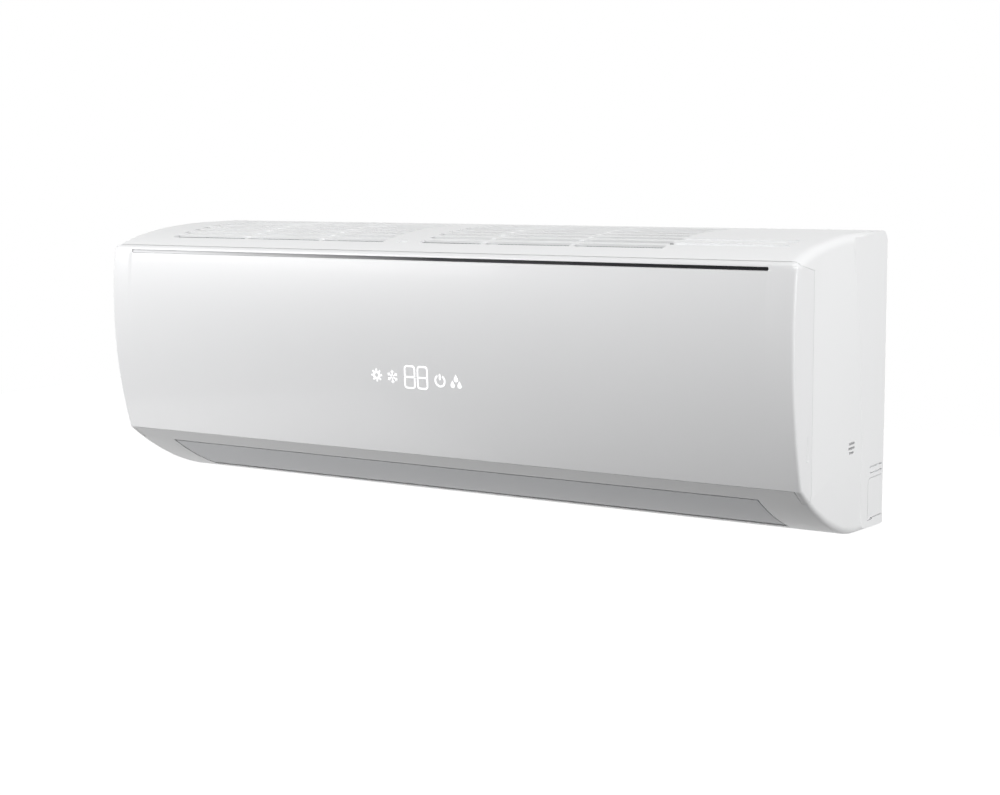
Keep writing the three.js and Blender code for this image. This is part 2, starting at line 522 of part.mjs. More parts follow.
function rearChassis() {
  const { back, wall, top, shelf, gutter } = CHASSIS;
  const front = back - wall;
  const foot = BOTTOM + BODY.wall + GAP;
  // gutter, scroll, outlet floor and the rail under it, one moulded section
  const trough = coilRear + 24;
  const section = [
    [front + 1, gutter + 4], [trough, gutter + 4], [trough, gutter + 12], [trough - wall, gutter + 12],
    [trough - wall, gutter + 2], [coilRear - 3, gutter + 2], [coilRear - 3, gutter + 4.5],
    [coilRear - 3 - wall, gutter + 4.5], [coilRear - 3 - wall, gutter - 0.5], [scroll[0][0], gutter - 0.5],
    ...scroll.slice(1),
    channel.to, onFloor(channelRun.length(), -wall),
    onFloor(13, -wall), onFloor(13, -9), onFloor(3, -9),
    [rail, foot], [rail + 8, foot], [rail + 14, shelf - 10],
    [rail + 18, shelf - wall], [front + 1, shelf - wall],
  ];
  const hollow = [
    [front - 0.5, gutter], [front - 0.5, shelf], [scrollBack[3][0] + 1, shelf], ...scrollBack.slice(1, 3).reverse(),
    [scrollBack[1][0] + 2, gutter - 5], [scrollBack[1][0] + 2, gutter - 4]];
  let body = alongX(section.reverse(), AIR.left - AIR.bulkhead, AIR.right + AIR.bulkhead, []);
  body = cut(body, alongX(hollow, AIR.left - 20, AIR.right + 20));
  const backPlate = alongY(rounded(-INNER_X + GAP + 0.2, INNER_X - GAP - 0.2, shelf - wall, top, 6), front, back);
  body = join(body, backPlate);
  // rim round the recess that takes the wall plate
  const rim = alongY(rounded(-INNER_X + 4, INNER_X - 4, shelf - wall, top, 6), back - 0.5, -0.6,
    [rounded(-INNER_X + 7, INNER_X - 7, shelf - wall + 3, top - 3, 4).reverse()]);
  body = join(body, rim);
  // fan end bulkheads
  const bulkhead = [
    ...scroll.slice(0, 4).map(([y, z], i) => (i === 0 ? [y, gutter] : [y + 1, z])), onFloor(0, -1), onFloor(12, -1),
    onFloor(18, 14), [tongue.tip[0] - 6, tongue.tip[1] - 6], [tongue.tip[0] - 2, tongue.tip[1] + 6],
    [FAN.y - 50, FAN.z + 14], [FAN.y - 36, FAN.z + 52], [FAN.y, FAN.z + 66], [FAN.y + 34, FAN.z + 56]];
  for (const x of [AIR.left - AIR.bulkhead, AIR.right]) {
    const hole = ring(FAN.y, FAN.z, BEARING.seat, 16).reverse();
    body = join(body, alongX([...bulkhead].reverse(), x, x + AIR.bulkhead, [hole]));
  }
  // motor cradle: two ribs and a foot that ties them to the back
  const ribs = [MOTOR_X.left + 6, MOTOR_X.right - 6 - MOTOR.cradleThick];
  const cradle = [
    [front + 1, 10], [front + 1, shelf - wall], [FAN.y - 52, shelf - wall], [FAN.y - 52, FAN.z - 1],
    [FAN.y + 52, FAN.z - 1], [-36, 10]];
  const motorSeat = alongX(ring(FAN.y, FAN.z, MOTOR.radius + GAP + 0.1, 24), MOTOR_X.left - 1, MOTOR_X.right + 1);
  for (const x of ribs) body = join(body, cut(alongX(orientRing(cradle), x, x + MOTOR.cradleThick), motorSeat));
  body = join(body, box(ribs[0], ribs[1] + MOTOR.cradleThick, FAN.y - 52, front + 1, shelf - wall - 0.5, shelf));
  // room for the casing's left cheek beside the outlet floor
  body = cut(body, alongX(orientRing(ductShell(BODY.wall + GAP)), AIR.left - AIR.bulkhead - 1, AIR.left + GAP));
  // slots for the wall plate's hooks
  for (const x of [-hookX, 0, hookX]) {
    body = cut(body, box(x - PLATE.hookWidth / 2 - 3, x + PLATE.hookWidth / 2 + 3, front - 1, back + 1,
      HOOK.z - 12, HOOK.z + PLATE.thick + GAP));
  }
  // vane pivot bores, screw bores in the foot
  for (const x of vaneXs()) body = cut(body, upPin(x, VANE.pin + GAP, -VANE.pinLength - 0.6, 2, 8));
  for (const x of SCREW_XS) {
    body = cut(body, alongZ(ring(x, SCREW_Y, SCREW.shank + GAP, 8), foot - 1, foot + SCREW.length));
  }
  return body;
}
const tongue = { tip: polar(-141, 53.5) };
const BEARING = { seat: 12, cup: 11.7, cupBore: 7.3, bush: 7, bushBore: 4.3 };
const MOTOR_X = { left: AIR.right + AIR.bulkhead + MOTOR.gap, right: AIR.right + AIR.bulkhead + MOTOR.gap + MOTOR.length };
const HOOK = { z: PLATE.top - 6 };
const SCREW_XS = [-HALF + 145, 0, HALF - 155];
const SCREW_Y = rail + 4;

// A round pin or bore square to the outlet floor, from one height above it to another.
function upPin(x, radius, low, high, sides = 10, along = 0) {
  const [y, z] = onFloor(VANE_AT + along, low);
  return prism(ring(0, 0, radius, sides), high - low, basis([1, 0, 0], [0, UP[1], -UP[0]], [0, UP[0], UP[1]], [x, y, z]));
}
const VANE_AT = 8; // pivot line, along the outlet floor from the end of the scroll

function vaneXs() {
  const groups = [];
  const span = VANE.pitch * (VANE.perGroup - 1);
  const middle = (AIR.left + AIR.right) / 2;
  for (const side of [-1, 1]) {
    const start = side < 0 ? middle - VANE.groupGap / 2 - span : middle + VANE.groupGap / 2;
    for (let i = 0; i < VANE.perGroup; i += 1) groups.push(start + i * VANE.pitch);
  }
  return groups;
}
const VANE_XS = vaneXs();

// A vane in the plane square to x: a swept blade with a pivot pin below and a peg above.
function vane(x) {
  const low = 0.8;
  const high = VANE.height;
  const outlineOf = [
    onFloor(VANE_AT - VANE.before, low + 3), onFloor(VANE_AT - VANE.before * 0.4, low),
    onFloor(VANE_AT + VANE.after * 0.45, low), onFloor(VANE_AT + VANE.after - 6, low + 6),
    onFloor(VANE_AT + VANE.after - 2, high * 0.6),
    onFloor(VANE_AT + VANE.link + 3, high), onFloor(VANE_AT + 2, high - 2), onFloor(VANE_AT - VANE.before + 2, high - 12)];
  let body = alongX(orientRing(outlineOf), x - VANE.thick / 2, x + VANE.thick / 2);
  body = join(body, upPin(x, VANE.pin, -VANE.pinLength, low + 6, 8));
  body = join(body, upPin(x, VANE.peg, high - 6, high + VANE.pegLength, 6, VANE.link));
  return body;
}
function linkBar(xs) {
  const low = VANE.height + 0.5;
  const place = basis([1, 0, 0], [0, -DIR[0], -DIR[1]], [0, UP[0], UP[1]],
    [0, ...onFloor(VANE_AT + VANE.link, low)]);
  const half = VANE.barWidth / 2;
  const holes = xs.map((x) => ring(x, 0, VANE.peg + GAP, 6));
  return prism(rounded(xs[0] - 5, xs.at(-1) + 5, -half, half, 2.5, 1), VANE.barThick, place, holes);
}

const WINDOW = { left: AIR.left + 10.5, right: AIR.right - 13.5, web: 24, margin: 26.25 };
const windowMiddle = (WINDOW.left + WINDOW.right) / 2;
const windows = [
  { left: WINDOW.left, right: windowMiddle - WINDOW.web / 2 },
  { left: windowMiddle + WINDOW.web / 2, right: WINDOW.right },
];
const windowZ = { low: chinZ + WINDOW.margin, high: cornerZ - WINDOW.margin };

// ---------------------------------------------------------------- drain pan
const PAN = (() => {
  const [tipY, tipZ] = tongue.tip;
  const behindFilter = FRAME_BACK + GAP + FILTER.thick + GAP + FILTER.mesh + 0.8;
  const floor = tipZ - 12;
  return {
    front: frontY(windowZ.low - FILTER.edge, behindFilter), wall: 2.5, floor, top: floor + 11, back: tipY - 12,
    left: AIR.left + 0.4, right: AIR.right - 0.4, endWall: 2, endTop: floor + 7.5,
  };
})();
const DRAIN = { y: PAN.front + 16, z: PAN.floor - 1, radius: 6.5, bore: 4.5, length: 12, sump: 20 };
function drainPan() {
  const [tipY, tipZ] = tongue.tip;
  const { front, wall, floor, top, back, left, right, endWall, endTop } = PAN;
  const nose = chinAt(louvreFront - 6, BODY.wall + 1.6);
  const section = [
    [front, top], [front, floor - 2], nose, [nose[0] + 4, nose[1] - 1.5], [tipY - 2, tipZ - 4], [tipY, tipZ],
    [tipY - 2.5, tipZ + 3], [tipY - 5.5, tipZ - 3], [back, floor], [front + wall, floor], [front + wall, top]];
  let body = alongX(orientRing(section), left, right);
  for (const [wallLeft, wallRight] of [[left - 0.6 - endWall, left - 0.6], [right - 0.1, right + endWall]]) {
    body = join(body, box(wallLeft, wallRight, front, back, floor - 3, endTop));
  }
  body = join(body, box(left - 0.6 - endWall, left + 0.1, front, back, floor - 3, floor));
  // supports for the lower fin block
  const [foot] = innerLine;
  for (const x of [COIL.left + 30, (COIL.left + COIL.right) / 2, COIL.right - 40]) {
    body = join(body, box(x, x + 10, foot[0] - COIL.thick + 2, foot[0] - 2, floor - 1, lowestFin - GAP));
  }
  // a drain spout at each end, with a sump in the floor behind it
  for (const [x0, x1] of [[left - DRAIN.length, left - 0.6], [right, right + DRAIN.length]]) {
    body = join(body, alongX(ring(DRAIN.y, DRAIN.z, DRAIN.radius, 16), x0, x1));
  }
  for (const [x0, x1] of [[left - DRAIN.length - 1, left + DRAIN.sump], [right - DRAIN.sump, right + DRAIN.length + 1]]) {
    body = cut(body, alongX(ring(DRAIN.y, DRAIN.z, DRAIN.bore, 12), x0, x1));
  }
  return body;
}
function drainPlug() {
  const end = PAN.left - DRAIN.length - GAP;
  const cap = alongX(ring(DRAIN.y, DRAIN.z, DRAIN.radius, 16), end - 3, end);
  return join(cap, alongX(ring(DRAIN.y, DRAIN.z, DRAIN.bore - GAP, 12), end - 1, end + 8));
}

// ---------------------------------------------------------------- evaporator
// Three slabs bend over the fan. Each stands on a run of the inner line and is one thickness deep outwards.
const innerLine = (() => {
  const z0 = PAN.floor + 6;
  const peakZ = TOP - BODY.wall - COIL.thick - 4;
  const z1 = z0 + (peakZ - z0) * COIL.bendShare;
  const foot = [PAN.front + PAN.wall + 4.5 + COIL.thick, z0];
  const bend = [frontY(z1, FRAME_BACK + FILTER.thick + 5) + COIL.thick, z1];
  const peak = [FAN.y, peakZ];
  const rear = [coilRear, CHASSIS.gutter + 2 + GAP];
  return [foot, bend, peak, rear];
})();
function slab(from, to, startGap, endGap) {
  const run = new THREE.Vector2(to[0] - from[0], to[1] - from[1]).normalize();
  const a = [from[0] + run.x * startGap, from[1] + run.y * startGap];
  const b = [to[0] - run.x * endGap, to[1] - run.y * endGap];
  const out = [-run.y * COIL.thick, run.x * COIL.thick];
  return [a, b, [b[0] + out[0], b[1] + out[1]], [a[0] + out[0], a[1] + out[1]]];
}
const blocks = {
  evaporator_lower: slab(innerLine[0], innerLine[1], 0, 0.5),
  evaporator_upper: slab(innerLine[1], innerLine[2], 1, 0.5),
  evaporator_rear: slab(innerLine[2], innerLine[3], 1, 0),
};
const lowestFin = Math.min(...blocks.evaporator_lower.map(([, z]) => z));
const between = (a, b, t) => [a[0] + (b[0] - a[0]) * t, a[1] + (b[1] - a[1]) * t];
function tubeCentres(quad) {
  const start = between(quad[0], quad[3], 0.5);
  const end = between(quad[1], quad[2], 0.5);
  const count = COIL.passesPerBlock;
  return Array.from({ length: count }, (_, i) => between(start, end, (i + 0.6) / (count + 0.2)));
}
const coilCentres = [
  ...tubeCentres(blocks.evaporator_lower),
  ...tubeCentres(blocks.evaporator_upper),
  ...tubeCentres(blocks.evaporator_rear),
];
const boreRadius = (COIL.tube + COIL.boreGap) / Math.cos(Math.PI / 6);

function finBlock(quad, centres) {
  const ordered = THREE.ShapeUtils.isClockWise(quad.map(([u, v]) => new THREE.Vector2(u, v))) ? [...quad].reverse() : quad;
  const holes = centres.map(([y, z]) => ring(y, z, boreRadius, 6));
  return alongX(ordered, COIL.left, COIL.right, holes);
}

// One serpentine tube through every bore, turning back outside the tube plates.
function coilTube() {
  const ends = [COIL.left - COIL.plate - 2, COIL.right + COIL.plate + 2];
  const points = [];
  coilCentres.forEach(([y, z], i) => {
    const goingLeft = i % 2 === 0;
    const [from, to] = goingLeft ? [ends[1], ends[0]] : ends;
    points.push([i === 0 ? from + 2 : from, y, z], [i === coilCentres.length - 1 ? to + 2 : to, y, z]);
    if (i + 1 === coilCentres.length) return;
    const next = coilCentres[i + 1];
    const middle = between([y, z], next, 0.5);
    const reach = Math.hypot(next[0] - y, next[1] - z) / 2;
    const outward = goingLeft ? -1 : 1;
    for (let k = 1; k < COIL.bendSteps; k += 1) {
      const angle = (Math.PI * k) / COIL.bendSteps;
      const share = (1 - Math.cos(angle)) / 2;
      points.push([to + outward * reach * Math.sin(angle), ...between([y, z], next, share)]);
    }
  });
  return { body: sweep(points, COIL.tube, 6), start: points[0], end: points.at(-1) };
}

function tubePlate(x) {
  const quads = Object.values(blocks);
  const grow = 1.2;
  const pieces = quads.map((quad) => {
    const centre = between(between(quad[0], quad[2], 0.5), between(quad[1], quad[3], 0.5), 0.5);
    const bigger = quad.map(([y, z]) => {
      const d = Math.hypot(y - centre[0], z - centre[1]);
      return [y + ((y - centre[0]) / d) * grow, z + ((z - centre[1]) / d) * grow];
    });
    const ordered = THREE.ShapeUtils.isClockWise(bigger.map(([u, v]) => new THREE.Vector2(u, v))) ? bigger.reverse() : bigger;
    return alongX(ordered, x, x + COIL.plate);
  });
  const [lower, upper, rear] = quads;
  pieces.push(alongX(orient([lower[1], lower[2], upper[3], upper[0]]), x, x + COIL.plate));
  pieces.push(alongX(orient([upper[1], upper[2], rear[3], rear[0]]), x, x + COIL.plate));
  let body = join(pieces);
  for (const [y, z] of coilCentres) body = cut(body, alongX(ring(y, z, boreRadius, 6), x - 1, x + COIL.plate + 1));
  const gutterFloor = CHASSIS.gutter + 2 + GAP;
  return cut(body, box(x - 1, x + COIL.plate + 1, FAN.y, 0, 0, gutterFloor));
}
function orient(points) {
  const centre = points.reduce((s, p) => [s[0] + p[0] / points.length, s[1] + p[1] / points.length], [0, 0]);
  return [...points].sort((a, b) =>
    Math.atan2(a[1] - centre[1], a[0] - centre[0]) - Math.atan2(b[1] - centre[1], b[0] - centre[0]));
}

// ---------------------------------------------------------------- cross-flow fan
function crossflowFan() {
  const length = FAN.right - FAN.left;
  const rings = range(FAN.rings - 1, FAN.left, FAN.right - FAN.ringThick);
  let body = null;
  const put = (piece) => { body = body ? body.add(piece) : piece; };
  rings.forEach((x, i) => {
    const solidEnd = i === 0 || i === rings.length - 1;
    const hole = solidEnd ? [] : [ring(FAN.y, FAN.z, FAN.inner - 4, 12)];
    put(alongX(ring(FAN.y, FAN.z, FAN.radius, FAN.blades), x, x + FAN.ringThick, hole));
  });
  const blade = (angle, x0, x1) => {
    const at = (radius, side, back) => {
      const a = angle + back / radius;
      return [FAN.y + radius * Math.cos(a) - side * Math.sin(a), FAN.z + radius * Math.sin(a) + side * Math.cos(a)];
    };
    const middle = (FAN.radius + FAN.inner) / 2;
    const points = [at(FAN.radius - 0.6, 0, 5), at(middle, FAN.bladeThick / 2 - FAN.camber, 4),
      at(FAN.inner, 0, 0), at(middle, -FAN.bladeThick / 2 - FAN.camber, 4)];
    return alongX(orientRing(points), x0, x1);
  };
  for (let s = 0; s + 1 < rings.length; s += 1) {
    for (let k = 0; k < FAN.blades; k += 1) {
      const angle = (2 * Math.PI * (k + s * 0.25)) / FAN.blades;
      put(blade(angle, rings[s] + FAN.ringThick - 0.2, rings[s + 1] + 0.2));
    }
  }
  put(alongX(ring(FAN.y, FAN.z, FAN.stub, 12), AIR.left - AIR.bulkhead - 1.5, FAN.left + 1));
  put(alongX(ring(FAN.y, FAN.z, FAN.hub, ROUND), FAN.right - 14, FAN.right - 1));
  body = cut(body, alongX(ring(FAN.y, FAN.z, (FAN.shaft + GAP) / Math.cos(Math.PI / 12), 12), FAN.right - 12, FAN.right + 5));
  return body;
}
function orientRing(points) {
  return THREE.ShapeUtils.isClockWise(points.map(([u, v]) => new THREE.Vector2(u, v))) ? [...points].reverse() : points;
}

// ---------------------------------------------------------------- casing
const recess = (() => {
  // hollow over the closed louvre, deep enough for its rear edge to swing through
  const swing = Math.hypot(louvrePivot[0] - louvreRear, louvrePivot[1] - chinAt(louvreRear)[1]) + 3;
  const front = louvreFront - LOUVRE.frontGap;
  const rear = louvreRear + LOUVRE.rearGap;
  return [
    chinAt(front, -8), chinAt(louvrePivotY - 14, -8), chinAt(rear, -8), chinAt(rear, 9),
    [louvrePivot[0] + swing * 0.92, louvrePivot[1] + swing * 0.42],
    [louvrePivot[0] + swing * 0.5, louvrePivot[1] + swing * 0.9],
    [louvrePivot[0] - 12, louvrePivot[1] + swing * 0.95], chinAt(front, 7)];
})();
// The shell round that hollow, seen from the end.
const ductShell = (grow) => recess.map(([y, z]) => {
  const away = Math.hypot(y - louvrePivot[0], z - louvrePivot[1]);
  return [y + ((y - louvrePivot[0]) / away) * grow, z + ((z - louvrePivot[1]) / away) * grow];
});
function cavitySection() {
  const backTop = [[4, TOP - BODY.backCorner - 3], [-BODY.wall, TOP - BODY.backCorner - 3],
    [-BODY.wall, TOP - BODY.backCorner], [-BODY.backCorner + 1, TOP - BODY.wall]];
  const top = topRun(-BODY.backCorner - 2, PIVOT.y + 12, BODY.wall, 9);
  const shoulder = [[PIVOT.y + 9.6, PIVOT.z - 1], [frontY(PIVOT.z - 9, FRAME_BACK), PIVOT.z - 9]];
  const front = frontRun(PIVOT.z - 14, chinZ + 6, FRAME_BACK, 8);
  const chin = chinRun(louvreFront - 8, -BODY.bottomFlat - 6, BODY.wall, 7);
  return [...backTop, ...top, ...shoulder, ...front, ...chin, [4, BOTTOM + BODY.wall]];
}

// The rear of each end face steps in across a slanting crease.
const CREASE = {
  slope: 9,
  fromTop: [[-86, -4], [-83, 30.25], [-70, 91.25]], // y, and how far below the top
  fromBottom: [[-64, 123.25], [-60, 73.25], [-62, 16.25], [-52, -4]], // y, and how far above the bottom
};
const crease = [
  ...CREASE.fromTop.map(([y, down]) => [y, TOP - down]),
  ...CREASE.fromBottom.map(([y, up]) => [y, BOTTOM + up]),
];
function sideStep(sign) {
  const { slope } = CREASE;
  const x = (v) => sign * v;
  const rings = crease.map(([y, z]) => [
    [x(HALF + 3), y, z], [x(HALF), y, z], [x(HALF - BODY.sideRecess), y + slope, z],
    [x(HALF - BODY.sideRecess), 6, z], [x(HALF + 3), 6, z]]);
  return loft(sign > 0 ? rings : rings.reverse());
}

const KNOCK = { front: 37, top: BOTTOM + 47.25, bottom: BOTTOM + 9.25, radius: 6, slits: [6.8, 3] };
const knockOutline = (grow) => [
  [6, KNOCK.bottom - grow], [6, KNOCK.top + grow],
  ...ring(-KNOCK.front + KNOCK.radius, KNOCK.top - KNOCK.radius, KNOCK.radius + grow, 4, Math.PI / 2, Math.PI / 2),
  [-KNOCK.front - grow, KNOCK.bottom - grow]];
function knockOut(sign) {
  const outer = HALF - BODY.sideRecess;
  const [a, b] = sign > 0 ? [INNER_X + 0.2, outer - 0.1] : [-outer + 0.1, -INNER_X - 0.2];
  const plate = alongX(orientRing(knockOutline(-GAP)), a, b);
  return cut(plate, box(-HALF, HALF, -0.5, 10, BOTTOM, TOP));
}

const TERMINAL = { left: HALF - 95, right: HALF - 23, low: chinZ + 46.25, high: cornerZ - 54.25 };
const SENSOR = { y: -81, z: BOTTOM + 82.25, pitch: 4.3, slit: 1.6, reach: [[-6, 6], [-8, 6], [-6, 4]] };
const BUTTON = { x: HALF - 95, z: chinZ + 32.25, radius: 3.4, flange: 4.6, travel: 1.2, sunk: 0.4, switchHalf: 10 };

function frontCasing() {
  const far = HALF + 2;
  const behind = FRONT + 63;
  // room for the panel, less the frame and the chin that stand behind it
  const frame = [
    ...frontRun(chinZ + 3, PIVOT.z - 6, FRAME_INSET, 10), [PIVOT.y + 5.3, PIVOT.z - 3], [PIVOT.y + 6.4, PIVOT.z + 1.6],
    [behind, PIVOT.z + 1.6], [behind, chinZ + 3]];
  const chin = [
    [behind, chinZ + 4], [frontY(chinZ, FRAME_INSET + 1), chinZ + 4], [frontY(chinZ, FRAME_INSET), chinZ - 0.5],
    [frontY(chinZ, -9), chinZ - 0.5], [FRONT, BOTTOM], [behind, BOTTOM]];
  let space = alongX(panelZone(RUN), -far, far);
  space = cut(space, alongX(orientRing(frame), -SIDE, SIDE));
  space = cut(space, alongX(orientRing(chin), -SIDE + 4, SIDE - 4));
  let body = cut(outerForm(HALF), space);
  body = cut(body, sideStep(1), sideStep(-1));
  body = cut(body, alongX(orientRing(cavitySection()), -INNER_X, INNER_X));
  // outlet: cheeks at both ends, and a closed box under the motor bay
  const inside = outline(0.4);
  const boxed = ductShell(BODY.wall);
  const edge = cheek.inner + cheek.thick;
  const blankLeft = AIR.right + AIR.bulkhead + 1.5;
  const blocksOfDuct = [
    alongX(orientRing(boxed), -edge, -cheek.inner),
    alongX(orientRing(boxed), blankLeft, edge),
  ];
  for (const block of blocksOfDuct) body = join(body, block.intersect(alongX(inside, -far, far)));
  body = cut(body, alongX(orientRing(recess), -cheek.inner, cheek.inner));
  const outletOnly = recess.slice(0, 4);
  body = cut(body, alongX(orientRing([...outletOnly, chinAt(louvreFront - LOUVRE.frontGap, 4)]), -cheek.inner, cheek.inner));
  for (const sign of [-1, 1]) {
    const x = sign * (cheek.inner + cheek.thick / 2);
    body = cut(body, alongX(ring(...louvrePivot, LOUVRE.pin + GAP, 12), x - cheek.thick, x + cheek.thick));
  }
  // top grille
  body = join(cut(body, grilleSlots(), closedSlats(), latchPocket()), grilleRibs());
  // filter windows in the frame
  for (const w of windows) {
    body = cut(body, alongY(rounded(w.left, w.right, windowZ.low, windowZ.high, 6), -BODY.depth, -BODY.depth + 40));
  }
  // panel hinge lugs
  for (const sign of [-1, 1]) {
    const [a, b] = sign > 0 ? [PANEL_LUG.x0, PANEL_LUG.x1] : [-PANEL_LUG.x1, -PANEL_LUG.x0];
    // its tail leaves under the path of the panel's top lip
    const lug = [...ring(PIVOT.y, PIVOT.z, PANEL.lugRadius, 12, -Math.PI / 8, (Math.PI * 5) / 4),
      [PIVOT.y + 9, PIVOT.z - 7], [PIVOT.y + 9, PIVOT.z - 2.4]];
    const bore = ring(PIVOT.y, PIVOT.z, PANEL.pin + GAP, 12).reverse();
    body = join(body, alongX(orientRing(lug), a, b, [bore]));
    body = cut(body, alongX(ring(PIVOT.y, PIVOT.z, PANEL.pin + GAP, 12), a - 1, b + 1));
  }
  // service window, button hole
  body = cut(body, alongY(rounded(TERMINAL.left + 4, TERMINAL.right - 4, TERMINAL.low + 4, TERMINAL.high - 4, 3),
    -BODY.depth, -BODY.depth + 40));
  body = cut(body, alongY(ring(BUTTON.x, BUTTON.z, BUTTON.radius + GAP, 14), -BODY.depth, -BODY.depth + 40));
  // sensor slits, slots over the pipe exit, pipe exits at both ends
  SENSOR.reach.forEach(([y0, y1], i) => {
    const z = SENSOR.z + (1 - i) * SENSOR.pitch;
    body = cut(body, box(INNER_X - 1, HALF + 1, SENSOR.y + y0, SENSOR.y + y1, z - SENSOR.slit / 2, z + SENSOR.slit / 2));
  });
  for (const sign of [-1, 1]) {
    for (const up of KNOCK.slits) {
      const z = KNOCK.top + up;
      const x = sign * (HALF - BODY.sideRecess);
      body = cut(body, box(x - 0.8, x + 0.8, -30, 1, z - 0.6, z + 0.6));
    }
    const [a, b] = sign > 0 ? [INNER_X - 1, HALF + 1] : [-HALF - 1, -INNER_X + 1];
    body = cut(body, alongX(orientRing(knockOutline(0)), a, b));
  }
  // screw bores through the bottom
  for (const x of SCREW_XS) {
    body = cut(body, alongZ(ring(x, SCREW_Y, SCREW.shank + GAP, 8), BOTTOM - 1, BOTTOM + BODY.wall + 1));
    body = cut(body, alongZ(ring(x, SCREW_Y, SCREW.head + GAP, 12), BOTTOM - 1, BOTTOM + 0.8));
  }
  return body;
}

const grille = (() => {
  const left = -HALF + GRILLE.left;
  const right = HALF - GRILLE.right;
  const front = FRONT + GRILLE.front;
  const ribPitch = (right - left) / GRILLE.bays;
  const webLeft = left + ribPitch * (GRILLE.bays / 2) - GRILLE.webBefore;
  const rows = Math.floor((-GRILLE.back - front) / GRILLE.pitch);
  return { left, front, ribPitch, webLeft, rows, fields: [[left, webLeft], [webLeft + GRILLE.web, right]] };
})();
function grilleSlots() {
  return grille.fields.flatMap(([left, right]) => range(grille.rows - 1, 0, grille.rows - 1).map((row) => {
    const front = grille.front + row * GRILLE.pitch;
    return box(left, right, front, front + GRILLE.slot, topAt(front)[1] - 12, TOP + 4);
  }));
}
// A shallow hollow in the top skin.
function topHollow(y0, y1, deep, left, right) {
  return alongX(orientRing([...topRun(y0, y1, deep, 2), ...topRun(y1, y0, -4, 2)]), left, right);
}
// The right end of the grille is only drawn on: shallow grooves over the electrical parts.
function closedSlats() {
  const { left, right, front, slot, pitch, rows, deep } = GRILLE.closed;
  return range(rows - 1, 0, rows - 1).map((row) => {
    const y = grille.front + front + row * pitch;
    return topHollow(y, y + slot, deep, HALF - left, HALF - right);
  });
}
// Pocket for the panel's latch in the web between the two fields.
function latchPocket() {
  const middle = grille.webLeft + GRILLE.web / 2;
  return topHollow(grille.front - 1, grille.front + 7, 1.2, middle - 5, middle + 5);
}
// Ribs under the slats tie them together from the front ledge to the back.
function grilleRibs() {
  const front = grille.front - 4;
  const back = grille.front + grille.rows * GRILLE.pitch;
  const section = [
    ...topRun(front, back, GRILLE.ribSink, 5),
    ...topRun(front + 5, back, GRILLE.ribSink + GRILLE.ribDeep, 5).reverse()];
  const bays = range(GRILLE.bays - 2, 1, GRILLE.bays - 1).filter((bay) => bay !== GRILLE.bays / 2);
  return bays.map((bay) => {
    const x = grille.left + bay * grille.ribPitch;
    return alongX(orientRing(section), x - GRILLE.rib / 2, x + GRILLE.rib / 2);
  });
}

// ---------------------------------------------------------------- filters
function filterFrame(w) {
  const left = w.left - FILTER.edge;
  const right = w.right + FILTER.edge;
  const z0 = windowZ.low - FILTER.edge;
  const z1 = windowZ.high + FILTER.edge - 2;
  const skin = (in0, in1, low, high) => [...frontRun(low, high, in0, 6), ...frontRun(low, high, in1, 6).reverse()];
  const inset = FRAME_BACK + GAP;
  let body = alongX(orientRing(skin(inset, inset + FILTER.thick, z0, z1)), left, right);
  const inner = skin(inset - 1, inset + FILTER.thick + 1, z0 + FILTER.frame, z1 - FILTER.frame);
  const middle = (left + right) / 2;
  for (const [a, b] of [[left + FILTER.frame, middle - 1.5], [middle + 1.5, right - FILTER.frame]]) {
    body = cut(body, alongX(orientRing(inner), a, b));
  }
  return { body, left, right, z0, z1, inset };
}
function filterMesh(w) {
  const { left, right, z0, z1, inset } = filterFrame(w);
  const deep = inset + FILTER.thick + GAP;
  const sheet = [...frontRun(z0 + 2, z1 - 2, deep, 6), ...frontRun(z0 + 2, z1 - 2, deep + FILTER.mesh, 6).reverse()];
  return alongX(orientRing(sheet), left + 2, right - 2);
}

// ---------------------------------------------------------------- wall plate
function wallPlate() {
  const { half, top, bottom, thick, flange } = PLATE;
  const middle = (top + bottom) / 2 - 2;
  const opening = (top - bottom) / 5;
  const holes = [];
  for (const x of range(3, -half + 40, half - 40)) {
    for (const z of [bottom + 14, top - 30]) holes.push(ring(x, z, 2.6, 8));
  }
  for (const x of [-hookX, 80 - hookX, hookX - 80, hookX]) {
    holes.push(rounded(x - 24, x + 24, middle - opening / 2, middle + opening / 2, 8, 2));
  }
  let body = alongY(rounded(-half, half, bottom, top, 8), -thick, 0, holes);
  for (const [z0, z1] of [[bottom, bottom + thick], [top - thick, top]]) {
    body = join(body, box(-half + 10, half - 10, -flange - thick, -thick + 0.2, z0, z1));
  }
  for (const x of [-hookX, 0, hookX]) {
    const deep = CHASSIS.back - CHASSIS.wall - GAP - thick;
    const [a, b] = [x - PLATE.hookWidth / 2, x + PLATE.hookWidth / 2];
    body = join(body, box(a, b, deep, -thick + 0.2, HOOK.z, HOOK.z + thick));
    body = join(body, box(a, b, deep, deep + thick, HOOK.z, HOOK.z + 10));
  }
  return body;
}

// ---------------------------------------------------------------- motor, bearing, electrical parts
function fanMotor() {
  let body = alongX(ring(FAN.y, FAN.z, MOTOR.radius, 24), MOTOR_X.left, MOTOR_X.right);
  body = join(body, alongX(ring(FAN.y, FAN.z, 14, 16), MOTOR_X.left - 5, MOTOR_X.left + 1));
  body = join(body, alongX(ring(FAN.y, FAN.z, 14, 16), MOTOR_X.right - 1, MOTOR_X.right + 4));
  return cut(body, alongX(ring(FAN.y, FAN.z, FAN.shaft + GAP + 0.2, 12), MOTOR_X.left - 6, MOTOR_X.left + 22));
}
const motorShaft = () => alongX(ring(FAN.y, FAN.z, FAN.shaft, 12), FAN.right - 11, MOTOR_X.left + 20);

